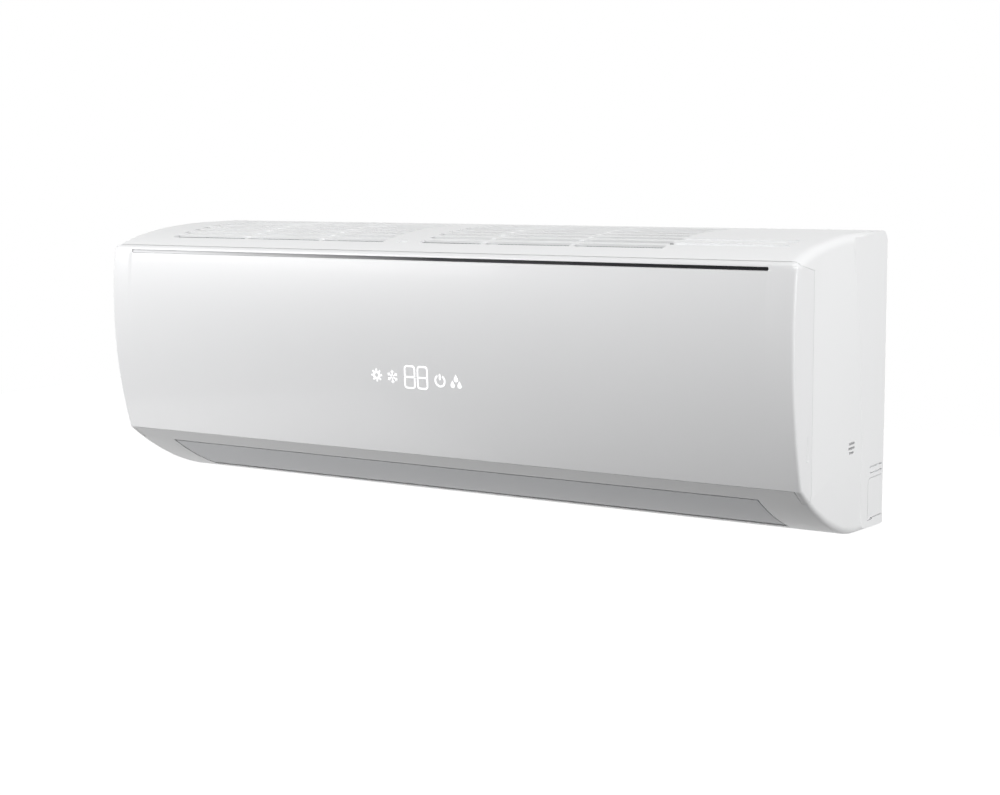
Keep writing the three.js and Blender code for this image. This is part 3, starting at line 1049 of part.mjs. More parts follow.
function motorClamp() {
  const inner = MOTOR.radius + GAP + 0.1;
  const outer = inner + 2;
  const [x0, x1] = [MOTOR_X.left + 6, MOTOR_X.right - 6];
  const middle = (x0 + x1) / 2;
  const foot = FAN.z - 1 + GAP;
  const band = ring(FAN.y, FAN.z, outer, 24);
  let strap = alongX(band, middle - MOTOR.band / 2, middle + MOTOR.band / 2);
  strap = strap.intersect(box(x0, x1, FAN.y - 60, FAN.y + 60, foot, FAN.z + 60));
  const feet = box(x0, x1, FAN.y - 51, FAN.y + 51, foot, foot + 2);
  return cut(join(strap, feet), alongX(ring(FAN.y, FAN.z, inner, 24), x0 - 1, x1 + 1));
}
const bearingX = { a: AIR.left - AIR.bulkhead, b: AIR.left };
function bearingCup() {
  const hole = ring(FAN.y, FAN.z, BEARING.cupBore, 16).reverse();
  return alongX(ring(FAN.y, FAN.z, BEARING.cup, 16), bearingX.a - 1, bearingX.b + 3, [hole]);
}
function bearingBush() {
  const hole = ring(FAN.y, FAN.z, BEARING.bushBore / Math.cos(Math.PI / 16), 16).reverse();
  return alongX(ring(FAN.y, FAN.z, BEARING.bush, 16), bearingX.a - 1, bearingX.b + 3, [hole]);
}

const controlX = { left: BAY.boxLeft, right: BAY.boxLeft + BAY.boxWidth };
const controlLow = BOTTOM + 72.25;
const controlYZ = { front: frontY(controlLow, FRAME_BACK + 1.2), back: -14, low: controlLow, high: TOP - 34.25 };
function controlBox() {
  const { front, back, low, high } = controlYZ;
  const chamfer = [[front, low], [back, low], [back, high + 14], [front + 42, high + 14], [front, high - 22]];
  const inner = [[front + 2, low + 2], [back - 2, low + 2], [back - 2, high + 12], [front + 43, high + 12], [front + 2, high - 23]];
  const tray = alongX(chamfer, controlX.left, controlX.right);
  return cut(tray, alongX(inner, controlX.left + BAY.boxWall, controlX.right + 1));
}
function controlCover() {
  const { front, back, low, high } = controlYZ;
  const lid = [[front, low], [back, low], [back, high + 14], [front + 42, high + 14], [front, high - 22]];
  return alongX(lid, controlX.right + GAP, controlX.right + GAP + 1.5);
}
const boardX = controlX.left + BAY.boxWall + 6;
function mainBoard() {
  const { front, back, low, high } = controlYZ;
  const margin = BAY.boxWall + GAP;
  return box(boardX, boardX + BAY.boardThick, front + 36, back - margin, low + margin, high - 24);
}
// A coil former between the legs of its laminated core.
function transformer() {
  const left = boardX + BAY.boardThick + GAP;
  const middle = controlYZ.back - 29;
  const height = controlYZ.high - 63;
  const core = box(left, boardX + 24, middle - 17, middle + 17, height - 21, height + 21);
  return join(core, box(left + 4, boardX + 20, middle - 23, middle + 23, height - 14, height + 14));
}
function terminalBlock() {
  const left = boardX + BAY.boardThick + GAP;
  const front = controlYZ.front + 38;
  const low = TERMINAL.low + 14;
  const pitch = 15;
  const ways = 4;
  const body = box(left, left + 14, front, front + 18, low, low + pitch * ways + 4);
  return cut(body, range(ways - 1, low + 3, low + 3 + pitch * (ways - 1)).map((z) =>
    box(left + 6, left + 15, front - 1, front + 13, z, z + 9)));
}
function terminalCover() {
  const inset = FRAME_INSET - GAP;
  const { left, right, low, high } = TERMINAL;
  const skin = [...frontRun(low, high, inset - 1.5, 5), ...frontRun(low, high, inset, 5).reverse()];
  return alongX(orientRing(skin), left, right);
}

// A stepper whose output sits off its middle, so that its case clears the chin.
function louvreMotor() {
  const x0 = cheek.inner + cheek.thick + GAP;
  const middle = [louvrePivot[0] + 2, louvrePivot[1] + 8];
  let body = alongX(ring(...middle, 12, 16), x0, x0 + 16);
  body = join(body, box(x0, x0 + 2, middle[0] - 16, middle[0] + 16, middle[1] - 2, middle[1] + 5));
  return cut(body, alongX(ring(...louvrePivot, LOUVRE.pin + GAP + 0.2, 12), x0 - 1, x0 + 4));
}
function roomSensor() {
  const x1 = INNER_X - GAP;
  const { y, z } = SENSOR;
  return join(box(x1 - 3, x1, y - 9, y + 9, z - 10, z + 10), alongX(ring(y - 1, z, 2.4, 10), x1 - 6, x1 - 2));
}
function auxButton() {
  const face = frontY(BUTTON.z, FRAME_INSET);
  const rear = frontY(BUTTON.z - BUTTON.flange, FRAME_BACK);
  const cap = alongY(ring(BUTTON.x, BUTTON.z, BUTTON.radius, 14), face + BUTTON.sunk, rear + 2);
  return join(cap, alongY(ring(BUTTON.x, BUTTON.z, BUTTON.flange, 14), rear + 0.5, rear + 2));
}
function buttonHolder() {
  const rear = frontY(BUTTON.z - BUTTON.flange, FRAME_BACK);
  const start = rear + 2 + BUTTON.travel + GAP;
  const { x, z, switchHalf: half } = BUTTON;
  let body = box(x - half, x + half, start, start + 5, z - 8, z + 8);
  // two legs stand it off the back of the frame
  const low = z - 6;
  const frame = frontY(low, FRAME_BACK) + GAP;
  for (const side of [x - half, x + half - 3]) body = join(body, box(side, side + 3, frame, start + 1, low, z - 1));
  return body;
}

// Both pipes drop beside the fan housing and run back along the hollow behind the outlet.
const GAS = {
  radius: 4.8, bend: 11, across: 17, x: AIR.right + AIR.bulkhead + 6, y: -15, z: CHASSIS.shelf - 13, end: -60,
};
const LIQUID = {
  radius: 3.2, bend: 9, across: 14, x: AIR.right + AIR.bulkhead + 15, y: -13, z: BOTTOM + 22.25, end: -20,
  crossing: CHASSIS.shelf - CHASSIS.wall - 4.7, // height at which it runs back under the shelf
};

// A run of straight stretches with every corner bent to one radius.
function bentPath(corners, radius, steps = 4) {
  const points = corners.map((p) => new THREE.Vector3(...p));
  const path = [points[0]];
  for (let i = 1; i + 1 < points.length; i += 1) {
    const into = points[i].clone().sub(points[i - 1]).normalize();
    const out = points[i + 1].clone().sub(points[i]).normalize();
    const half = into.angleTo(out) / 2;
    const centre = points[i].clone().add(out.clone().sub(into).normalize().multiplyScalar(radius / Math.cos(half)));
    const first = points[i].clone().addScaledVector(into, -radius * Math.tan(half)).sub(centre);
    const axis = into.clone().cross(out).normalize();
    for (let k = 0; k <= steps; k += 1) path.push(centre.clone().add(first.clone().applyAxisAngle(axis, (2 * half * k) / steps)));
  }
  path.push(points.at(-1));
  return path.map((p) => [p.x, p.y, p.z]);
}

function nut({ y, z, end, across, radius }) {
  const hole = ring(y, z, (radius + GAP) / Math.cos(Math.PI / 10), 10);
  return alongX(ring(y, z, across / Math.sqrt(3), 6), end + 4, end + 20, [hole]);
}

function screw(x) {
  const shank = alongZ(ring(x, SCREW_Y, SCREW.shank, 8), BOTTOM + 0.8 - 0.2, BOTTOM + SCREW.length);
  const head = alongZ(ring(x, SCREW_Y, SCREW.head, 12), BOTTOM - SCREW.headHeight + 0.9, BOTTOM + 0.6);
  return join(shank, head);
}

// ---------------------------------------------------------------- assembly
add("front_casing", frontCasing(), WHITE, 0.35);
add("front_panel", frontPanel(), WHITE, 0.25);
add("panel_trim", panelTrim(), BLACK, 0.15);
add("display_light_guide", displayGuide(), WHITE, 0.6);
add("display_board", displayBoard(), BOARD, 0.6);
add("louvre", louvre(), SILVER, 0.4);
add("rear_chassis", rearChassis(), GREY, 0.6);
add("drain_pan", drainPan(), GREY, 0.7);
add("drain_plug", drainPlug(), BLACK, 0.9);
for (const [i, name] of Object.keys(blocks).entries()) {
  const centres = coilCentres.slice(i * COIL.passesPerBlock, (i + 1) * COIL.passesPerBlock);
  add(name, finBlock(blocks[name], centres), ALUMINIUM, 0.5, 0.7);
}
const coil = coilTube();
add("coil_tubes", coil.body, COPPER, 0.35, 0.9);
add("tube_plate_left", tubePlate(COIL.left - COIL.plate - GAP), STEEL, 0.4, 0.8);
add("tube_plate_right", tubePlate(COIL.right + GAP), STEEL, 0.4, 0.8);
add("crossflow_fan", crossflowFan(), BLACK, 0.6);
add("motor_shaft", motorShaft(), STEEL, 0.3, 0.9);
add("fan_motor", fanMotor(), GREY, 0.6);
add("motor_clamp", motorClamp(), STEEL, 0.5, 0.7);
add("bearing_cup", bearingCup(), BLACK, 0.9);
add("bearing_bush", bearingBush(), GREY, 0.4);
VANE_XS.forEach((x, i) => {
  const group = i < VANE.perGroup ? "left" : "right";
  add(`vane_${group}_${(i % VANE.perGroup) + 1}`, vane(x), WHITE, 0.5);
});
add("vane_link_left", linkBar(VANE_XS.slice(0, VANE.perGroup)), WHITE, 0.5);
add("vane_link_right", linkBar(VANE_XS.slice(VANE.perGroup)), WHITE, 0.5);
windows.forEach((w, i) => {
  const side = i === 0 ? "left" : "right";
  add(`filter_frame_${side}`, filterFrame(w).body, WHITE, 0.6);
  add(`filter_mesh_${side}`, filterMesh(w), GREY, 0.9);
});
add("wall_plate", wallPlate(), STEEL, 0.5, 0.8);
add("control_box", controlBox(), WHITE, 0.6);
add("control_box_cover", controlCover(), STEEL, 0.5, 0.7);
add("main_board", mainBoard(), BOARD, 0.6);
add("transformer", transformer(), BLACK, 0.6);
add("terminal_block", terminalBlock(), WHITE, 0.5);
add("terminal_cover", terminalCover(), WHITE, 0.5);
add("louvre_motor", louvreMotor(), STEEL, 0.4, 0.8);
add("room_sensor", roomSensor(), WHITE, 0.6);
add("aux_button", auxButton(), WHITE, 0.4);
add("aux_switch", buttonHolder(), BLACK, 0.6);
add("pipe_knockout_right", knockOut(1), WHITE, 0.35);
add("pipe_knockout_left", knockOut(-1), WHITE, 0.35);
function gasPipe([x, y, z]) {
  const corners = [
    [x + GAP, y, z], [GAS.x, y, z], [GAS.x, y, z - 40], [GAS.x, GAS.y, z - 70], [GAS.x, GAS.y, GAS.z],
    [GAS.end, GAS.y, GAS.z]];
  return sweep(bentPath(corners, GAS.bend), GAS.radius, 8);
}
function liquidPipe([x, y, z]) {
  const corners = [
    [x + GAP, y, z], [LIQUID.x, y, z], [LIQUID.x, y, LIQUID.crossing], [LIQUID.x, LIQUID.y, LIQUID.crossing],
    [LIQUID.x, LIQUID.y, LIQUID.z], [LIQUID.end, LIQUID.y, LIQUID.z]];
  return sweep(bentPath(corners, LIQUID.bend), LIQUID.radius, 6);
}
add("gas_pipe", gasPipe(coil.end), COPPER, 0.35, 0.9);
add("liquid_pipe", liquidPipe(coil.start), COPPER, 0.35, 0.9);
add("gas_flare_nut", nut(GAS), BRASS, 0.35, 0.9);
add("liquid_flare_nut", nut(LIQUID), BRASS, 0.35, 0.9);
["left", "centre", "right"].forEach((side, i) => add(`casing_screw_${side}`, screw(SCREW_XS[i]), STEEL, 0.3, 0.9));

export default nodes;
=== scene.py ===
"""The look of a wall-mounted mini split indoor unit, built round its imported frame. Lengths are in mm."""

import json
import math

import bpy
from mathutils import Matrix, Vector


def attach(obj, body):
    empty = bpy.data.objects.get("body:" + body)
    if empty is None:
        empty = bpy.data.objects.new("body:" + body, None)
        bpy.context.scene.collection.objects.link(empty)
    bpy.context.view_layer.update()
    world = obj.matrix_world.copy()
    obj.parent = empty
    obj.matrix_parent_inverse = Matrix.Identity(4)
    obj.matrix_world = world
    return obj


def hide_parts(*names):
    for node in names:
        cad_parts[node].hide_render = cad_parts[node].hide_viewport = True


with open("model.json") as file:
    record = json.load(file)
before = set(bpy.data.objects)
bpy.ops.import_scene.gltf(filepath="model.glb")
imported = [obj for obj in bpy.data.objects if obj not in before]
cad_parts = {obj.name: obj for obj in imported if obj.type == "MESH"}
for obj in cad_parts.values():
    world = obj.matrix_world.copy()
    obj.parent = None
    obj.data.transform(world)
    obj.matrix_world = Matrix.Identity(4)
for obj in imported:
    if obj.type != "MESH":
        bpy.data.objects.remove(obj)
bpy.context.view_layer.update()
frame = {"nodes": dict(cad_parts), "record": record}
MM = 0.001

# ---------------------------------------------------------------- sizes shared with the frame
GAP = 0.3
RUN = 0.6
SEAM = 0.25
WALL = 2.2
HALF = 395.0
TOP = 138.25
BOTTOM = -TOP
BELLY_R, BELLY_Z, DEPTH = 430.0, 50.0, 213.0
BELLY_Y = BELLY_R - DEPTH
CORNER_Z = TOP - 22
CHIN_Z = BOTTOM + 58
TOP_FLAT = 60.0
TOP_EDGE, FRONT_EDGE, BOTTOM_EDGE, BACK_EDGE = 9.0, 3.0, 8.0, 0.6
CORNER_R, CHIN_R, BACK_R, HEEL_R = 4.5, 2.5, 12.0, 2.0
SKIN = 2.3
FRAME_INSET = SKIN + 4.9
FRAME_BACK = FRAME_INSET + WALL
FLANGE_BACK, FLANGE_TOP, FLANGE_CURL = 172.0, CORNER_Z - 7, 7.0
SIDE = HALF - SKIN - RUN
SIDE_FIT = HALF - SKIN - SEAM
INNER_X = SIDE - WALL
SIDE_RECESS = 1.8
INSERT_HALF, INSERT_PROUD, INSERT_FADE, INSERT_RAMP = 370.0, 1.2, 150.0, 6.0
SLOT_LOW = CORNER_Z - 6.0
SLOT_HIGH = SLOT_LOW + 3.4
SLOT_DEPTH = 2.4
SLOT_HALF = INSERT_HALF - 2
LOUVRE_HALF, LOUVRE_FRONT, LOUVRE_REAR, LOUVRE_THICK = 345.0, 174.3, 115.0, 2.6
LOUVRE_PIVOT_BACK, LOUVRE_PIVOT_DEPTH, LOUVRE_REAR_GAP = 128.0, 9.5, 8.0
LOUVRE_PIN_R = 2.5
RECESS_AHEAD, BLADE_BEHIND = 1.6, 0.6
CHEEK_INNER, CHEEK_THICK = LOUVRE_HALF + 1.5, 2.5
CHEEK_OUTER = CHEEK_INNER + CHEEK_THICK
DUCT_RIGHT = 253.5
BLANK_LEFT = DUCT_RIGHT + CHEEK_THICK + 1.5
# How far a cutting outline reaches past the unit, and how far one face is kept off another's plane.
PAST, HAIR = 40.0, 0.02
FINE = 2


# ---------------------------------------------------------------- side profile
def front_y(z, inset=0.0):
    """The front's arc at a height, moved in by the inset."""
    radius = BELLY_R - inset
    return BELLY_Y - math.sqrt(radius * radius - (z - BELLY_Z) ** 2)


def front_normal(z):
    return (front_y(z) - BELLY_Y) / BELLY_R, (z - BELLY_Z) / BELLY_R


class Bezier:
    """A cubic run of the profile, with the inside of the unit on its left."""

    def __init__(self, *points):
        self.p = points

    def point(self, t):
        s = 1 - t
        w = (s ** 3, 3 * s * s * t, 3 * s * t * t, t ** 3)
        return tuple(sum(w[i] * self.p[i][k] for i in range(4)) for k in (0, 1))

    def outward(self, t):
        s = 1 - t
        w = (3 * s * s, 6 * s * t, 3 * t * t)
        dy, dz = (sum(w[i] * (self.p[i + 1][k] - self.p[i][k]) for i in range(3)) for k in (0, 1))
        length = math.hypot(dy, dz)
        return dz / length, -dy / length

    def at_y(self, y, inset=0.0):
        """The point at a depth y, found by halving, and moved in by the inset."""
        low, high = 0.0, 1.0
        rising = self.p[3][0] > self.p[0][0]
        for _ in range(40):
            middle = (low + high) / 2
            if (self.point(middle)[0] < y) == rising:
                low = middle
            else:
                high = middle
        (py, pz), (ny, nz) = self.point(low), self.outward(low)
        return py - ny * inset, pz - nz * inset


CORNER, CHIN = (front_y(CORNER_Z), CORNER_Z), (front_y(CHIN_Z), CHIN_Z)
TOP_CURVE = Bezier((-TOP_FLAT, TOP), (-TOP_FLAT * 2, TOP), (CORNER[0] + 28, CORNER_Z + 14.6), CORNER)
CHIN_CURVE = Bezier(CHIN, (CHIN[0] + 25, CHIN_Z - 21), (-112.0, BOTTOM + 1.2), (-60.0, BOTTOM))


def chin_at(y, inset=0.0):
    return CHIN_CURVE.at_y(y, inset)


def top_at(y, inset=0.0):
    return (y, TOP - inset) if y > -TOP_FLAT else TOP_CURVE.at_y(y, inset)


def spread(count, start, end):
    return [start + (end - start) * i / count for i in range(count + 1)]


def front_run(low, high, inset, steps=24):
    return [(front_y(z, inset), z) for z in spread(steps, low, high)]


def chin_run(start, end, inset, steps=20):
    return [chin_at(y, inset) for y in spread(steps, start, end)]


def top_run(start, end, inset, steps=24):
    return [top_at(y, inset) for y in spread(steps, start, end)]


def corner_between(point, n1, n2, radius):
    """A round corner that touches two straight sides, given by their outward normals."""
    dot = n1[0] * n2[0] + n1[1] * n2[1]
    mitre = ((n1[0] + n2[0]) / (1 + dot), (n1[1] + n2[1]) / (1 + dot))
    centre = (point[0] - mitre[0] * radius, point[1] - mitre[1] * radius)
    return {"centre": centre, "mitre": mitre, "n1": n1, "n2": n2, "radius": radius}


FRONT_CORNER = corner_between(CORNER, TOP_CURVE.outward(1), front_normal(CORNER_Z), CORNER_R)
CHIN_CORNER = corner_between(CHIN, front_normal(CHIN_Z), CHIN_CURVE.outward(0), CHIN_R)
TOP_BACK_CORNER = corner_between((0, TOP), (1, 0), (0, 1), BACK_R)
HEEL_CORNER = corner_between((0, BOTTOM), (0, -1), (1, 0), HEEL_R)
PIVOT = FRONT_CORNER["centre"]
LOUVRE_PIVOT = chin_at(-LOUVRE_PIVOT_BACK, LOUVRE_PIVOT_DEPTH)


# A station is a place on the profile: its point at any inset, the end rounding there, and its normal.
def smooth_station(point, normal, edge):
    return (lambda d: (point[0] - normal[0] * d, point[1] - normal[1] * d)), edge, normal


def corner_stations(corner, sides, edge):
    """Stations round a corner, whose arc shrinks to a sharp corner as the inset grows."""
    centre, mitre, radius = corner["centre"], corner["mitre"], corner["radius"]
    start = math.atan2(corner["n1"][1], corner["n1"][0])
    turn = (math.atan2(corner["n2"][1], corner["n2"][0]) - start) % (2 * math.pi)
    least = 0.05

    def station(angle):
        normal = (math.cos(angle), math.sin(angle))

        def at(d):
            past = max(0.0, d - radius + least)
            r = max(radius - d, least)
            return centre[0] - mitre[0] * past + normal[0] * r, centre[1] - mitre[1] * past + normal[1] * r
        return at, edge, normal
    return [station(start + turn * i / sides) for i in range(sides + 1)]


def outline_stations():
    """Once round the profile: heel, back, top, front corner, front, chin corner and chin."""
    stations = corner_stations(HEEL_CORNER, 4, BACK_EDGE)
    stations += corner_stations(TOP_BACK_CORNER, 8, BACK_EDGE)
    top_steps, chin_steps, front_steps = 22 * FINE, 20 * FINE, 26 * FINE
    # The last of the top curve is left to the front corner's rounding.
    top_end = 1 - CORNER_R * 0.5 / 90
    for i in range(top_steps + 1):
        t = top_end * i / top_steps
        stations.append(smooth_station(TOP_CURVE.point(t), TOP_CURVE.outward(t), TOP_EDGE))
    stations += corner_stations(FRONT_CORNER, 8, (TOP_EDGE + FRONT_EDGE) / 2)
    # Two stations close together let the middle plate's top edge step out.
    step = 0.06
    heights = [CORNER_Z - 3, SLOT_LOW + step, SLOT_LOW - step]
    heights += spread(front_steps, SLOT_LOW - 1.5, CHIN_Z + 1.5)
    for z in heights:
        stations.append(smooth_station((front_y(z), z), front_normal(z), FRONT_EDGE))
    stations += corner_stations(CHIN_CORNER, 6, FRONT_EDGE)
    chin_start = 0.02
    for i in range(chin_steps + 1):
        t = chin_start + (1 - chin_start) * i / chin_steps
        edge = FRONT_EDGE + (BOTTOM_EDGE - FRONT_EDGE) * t
        stations.append(smooth_station(CHIN_CURVE.point(t), CHIN_CURVE.outward(t), edge))
    return stations


STATIONS = outline_stations()


def outline(inset):
    return [at(inset) for at, _, _ in STATIONS]


# ---------------------------------------------------------------- mesh tools
def mesh_object(name, verts, faces):
    mesh = bpy.data.meshes.new(name)
    mesh.from_pydata([(x * MM, y * MM, z * MM) for x, y, z in verts], [], faces)
    mesh.update()
    obj = bpy.data.objects.new(name, mesh)
    bpy.context.scene.collection.objects.link(obj)
    return obj


def area_of(points):
    return sum(a[0] * b[1] - b[0] * a[1] for a, b in zip(points, points[1:] + points[:1])) / 2


def prism_data(outlines, start, end, place):
    """Closed bars on flat outlines; place turns (u, v, depth) into (x, y, z) without mirroring."""
    verts, faces = [], []
    for points in outlines:
        points = list(points)
        if area_of(points) < 0:
            points.reverse()
        base, count = len(verts), len(points)
        verts += [place(u, v, start) for u, v in points] + [place(u, v, end) for u, v in points]
        faces.append([base + i for i in reversed(range(count))])
        faces.append([base + count + i for i in range(count)])
        for i in range(count):
            j = (i + 1) % count
            faces.append([base + i, base + j, base + count + j, base + count + i])
    return verts, faces


def along_x(name, outlines, x0, x1):
    """Bars whose outlines lie in (y, z), from x0 to x1."""
    return mesh_object(name, *prism_data(outlines, x0, x1, lambda u, v, d: (d, u, v)))


def along_y(name, outlines, y0, y1):
    """Bars whose outlines lie in (x, z), from y0 to y1."""
    return mesh_object(name, *prism_data(outlines, -y1, -y0, lambda u, v, d: (u, -d, v)))


def along_z(name, outlines, z0, z1):
    """Bars whose outlines lie in (x, y), from z0 to z1."""
    return mesh_object(name, *prism_data(outlines, z0, z1, lambda u, v, d: (u, v, d)))


def merge_data(parts):
    verts, faces = [], []
    for more_verts, more_faces in parts:
        base = len(verts)
        verts += more_verts
        faces += [[base + i for i in face] for face in more_faces]
    return verts, faces


def box_data(x0, x1, y0, y1, z0, z1):
    return prism_data([[(x0, y0), (x1, y0), (x1, y1), (x0, y1)]], z0, z1, lambda u, v, d: (u, v, d))


def boxes(name, bounds):
    return mesh_object(name, *merge_data([box_data(*b) for b in bounds]))


def loft_data(rings):
    """A closed skin through rings of points that match one to one."""
    count = len(rings[0])
    verts = [p for ring_points in rings for p in ring_points]
    faces = []
    for r in range(len(rings) - 1):
        for i in range(count):
            j = (i + 1) % count
            faces.append([r * count + i, r * count + j, (r + 1) * count + j, (r + 1) * count + i])
    last = (len(rings) - 1) * count
    faces.append([i for i in reversed(range(count))])
    faces.append([last + i for i in range(count)])
    return verts, faces


def ring(u, v, radius, sides=32, start=0.0, sweep=2 * math.pi):
    """Points round a circle, or along an arc of it with both of its ends."""
    full = sweep > 6.28
    count = sides if full else sides + 1
    angles = [start + sweep * i / sides for i in range(count)]
    return [(u + radius * math.cos(a), v + radius * math.sin(a)) for a in angles]


def rounded(u0, u1, v0, v1, radius, sides=6):
    """A rectangle with round corners."""
    quarter = math.pi / 2
    left, right, low, high = u0 + radius, u1 - radius, v0 + radius, v1 - radius
    centres = [(right, high), (left, high), (left, low), (right, low)]
    points = []
    for turn, (u, v) in enumerate(centres):
        points += ring(u, v, radius, sides, turn * quarter, quarter)
    return points


def boolean(obj, tool, operation="DIFFERENCE"):
    """Cuts, joins or meets obj with tool, which is used up."""
    modifier = obj.modifiers.new("cut", "BOOLEAN")
    modifier.operation = operation
    modifier.solver = "MANIFOLD"
    modifier.object = tool
    bpy.context.view_layer.update()
    evaluated = obj.evaluated_get(bpy.context.evaluated_depsgraph_get())
    mesh = bpy.data.meshes.new_from_object(evaluated)
    obj.modifiers.clear()
    old, obj.data = obj.data, mesh
    bpy.data.meshes.remove(old)
    bpy.data.objects.remove(tool)
    return obj


def cut(obj, *tools):
    for tool in tools:
        boolean(obj, tool)
    return obj


def join(obj, *tools):
    for tool in tools:
        boolean(obj, tool, "UNION")
    return obj


def bevel(obj, width, segments):
    modifier = obj.modifiers.new("edge", "BEVEL")
    modifier.width = width * MM
    modifier.segments = segments
    modifier.limit_method = "ANGLE"
    modifier.angle_limit = math.radians(50)
    return obj


def shade(obj, degrees=30):
    """Smooth shading, with edges sharper than the angle left crisp."""
    mesh = obj.data
    mesh.polygons.foreach_set("use_smooth", [True] * len(mesh.polygons))
    mesh.set_sharp_from_angle(angle=math.radians(degrees))
    mesh.update()
    return obj


def spans(a, b):
    """A stretch of x and its mirror image."""
    return [(a, b), (-b, -a)]


# ---------------------------------------------------------------- outer form
def insert_swell(x, z):
    """How far the panel's middle plate stands proud: in full at its top edge, and less lower down."""
    if z > SLOT_LOW:
        return 0.0
    down = max(0.0, 1 - (SLOT_LOW - z) / INSERT_FADE)
    side = min(1.0, max(0.0, (INSERT_HALF - abs(x)) / INSERT_RAMP + 0.5))
    side = side * side * (3 - 2 * side)
    return INSERT_PROUD * down ** 1.5 * side


def end_point(station, sign, angle):
    """A station's point on an end's rounded edge, from the end face (90 degrees) to the straight (0)."""
    at, edge, _ = station
    inset = edge * (1 - math.cos(angle))
    return (sign * (HALF - edge * (1 - math.sin(angle))), *at(inset))


def swell_point(station, x):
    """A station's point on the straight run, moved out where the middle plate is."""
    at, _, normal = station
    y, z = at(0)
    on_front = y < -150 and CHIN_Z - 2 < z <= SLOT_LOW and normal[0] < -0.9
    return (x, *at(-insert_swell(x, z) if on_front else 0))


def outer_form(name, swell=False):
    """The whole outer form: straight along the middle, each end edge rounded."""
    turns = 7
    angles = [math.pi / 2 * (1 - i / turns) for i in range(turns + 1)]
    rings = [[end_point(station, -1, angle) for station in STATIONS] for angle in angles]
    if swell:
        ramp = spread(8, INSERT_HALF - INSERT_RAMP, INSERT_HALF + INSERT_RAMP)
        for x in [-x for x in reversed(ramp)] + ramp:
            rings.append([swell_point(station, x) for station in STATIONS])
    rings += [[end_point(station, 1, angle) for station in STATIONS] for angle in reversed(angles)]
    return mesh_object(name, *loft_data(rings))


def panel_zone(grow):
    """The panel's space seen from the end, grown by a clearance."""
    py, pz = PIVOT
    back = -FLANGE_BACK + grow
    seam = py + grow
    reach = top_at(py)[1] - pz + grow
    arc = [(py + grow * 0.5 + reach * math.cos(a), pz + reach * math.sin(a))
           for a in spread(12, math.pi / 2, math.pi / 9)]
    lip = (seam, pz + math.sqrt(reach * reach - grow * grow))
    arc = [p for p in arc[1:] if p[0] > seam + 0.05]
    bottom, away = chin_at(back - 4), chin_at(back - 4, -PAST)
    curl = [(back - step, bottom[1] + FLANGE_CURL * part + lift - grow)
            for step, part, lift in ((0, 1, 2.5), (0.4, 0.7, 2), (1.2, 0.45, 1.5))]
    front = -DEPTH - PAST
    return [(seam, TOP + PAST), lip, *arc, (back, FLANGE_TOP + grow), *curl,
            (bottom[0], bottom[1] + 0.5 - grow), (away[0], away[1] - grow),
            (front, away[1] - grow), (front, TOP + PAST)]


# ---------------------------------------------------------------- front panel
LUG_R, LUG_LONG, LUG_INSET, ARM_THICK, PANEL_PIN = 2.8, 4.0, 14.0, 2.5, 1.3
LUG_X0 = INNER_X - LUG_INSET
LUG_X1 = LUG_X0 + LUG_LONG
ARM_X0 = LUG_X1 + RUN
ARM_X1 = ARM_X0 + ARM_THICK
END_SKIN = SKIN + 2.6
NOTCH_FRONT, NOTCH_BACK, NOTCH_DEEP = -183.0, -176.6, 2.1
NOTCH_LOW, NOTCH_HIGH = -55.0, -33.0


def chin_opening():
    """Below the panel's lower edge, where only its end flanges go on down."""
    edge = CHIN_Z + 0.4
    front, back = -DEPTH - 20, -FLANGE_BACK + 10
    return [(front, edge), (front_y(CHIN_Z, SKIN) + 1, edge), (back, edge), (back, BOTTOM), (front, BOTTOM)]


def groove_rib():
    """The thicker bar that the header groove is cut into, seen from the end."""
    foot, head = SLOT_LOW - 4, SLOT_HIGH + 2
    points = ((foot, 1), (foot, SKIN + 0.2), (SLOT_LOW - 1, SKIN + 2), (SLOT_HIGH + 0.6, SKIN + 2),
              (head, SKIN - 0.4), (head, 1))
    return [(front_y(z, inset), z) for z, inset in points]


def hinge_arm():
    """From the hinge pin to the panel's skin, seen from the end."""
    py, pz = PIVOT
    return [(py + 1.6, pz + 1.6), (py - 2, pz + 2.2), (front_y(pz - 2, 1.2), pz - 1),
            (front_y(pz - 9, 1.2), pz - 9), (py - 1, pz - 3), (py + 1.6, pz - 1.6)]


def finger_notch(sign):
    """A wedge out of an end flange, where a finger lifts the panel."""
    outside = HALF + 3
    wedge = [(outside, NOTCH_FRONT), (HALF - NOTCH_DEEP, NOTCH_FRONT), (HALF + 0.1, NOTCH_BACK),
             (outside, NOTCH_BACK)]
    return along_z("notch", [[(sign * x, y) for x, y in wedge]], NOTCH_LOW, NOTCH_HIGH)


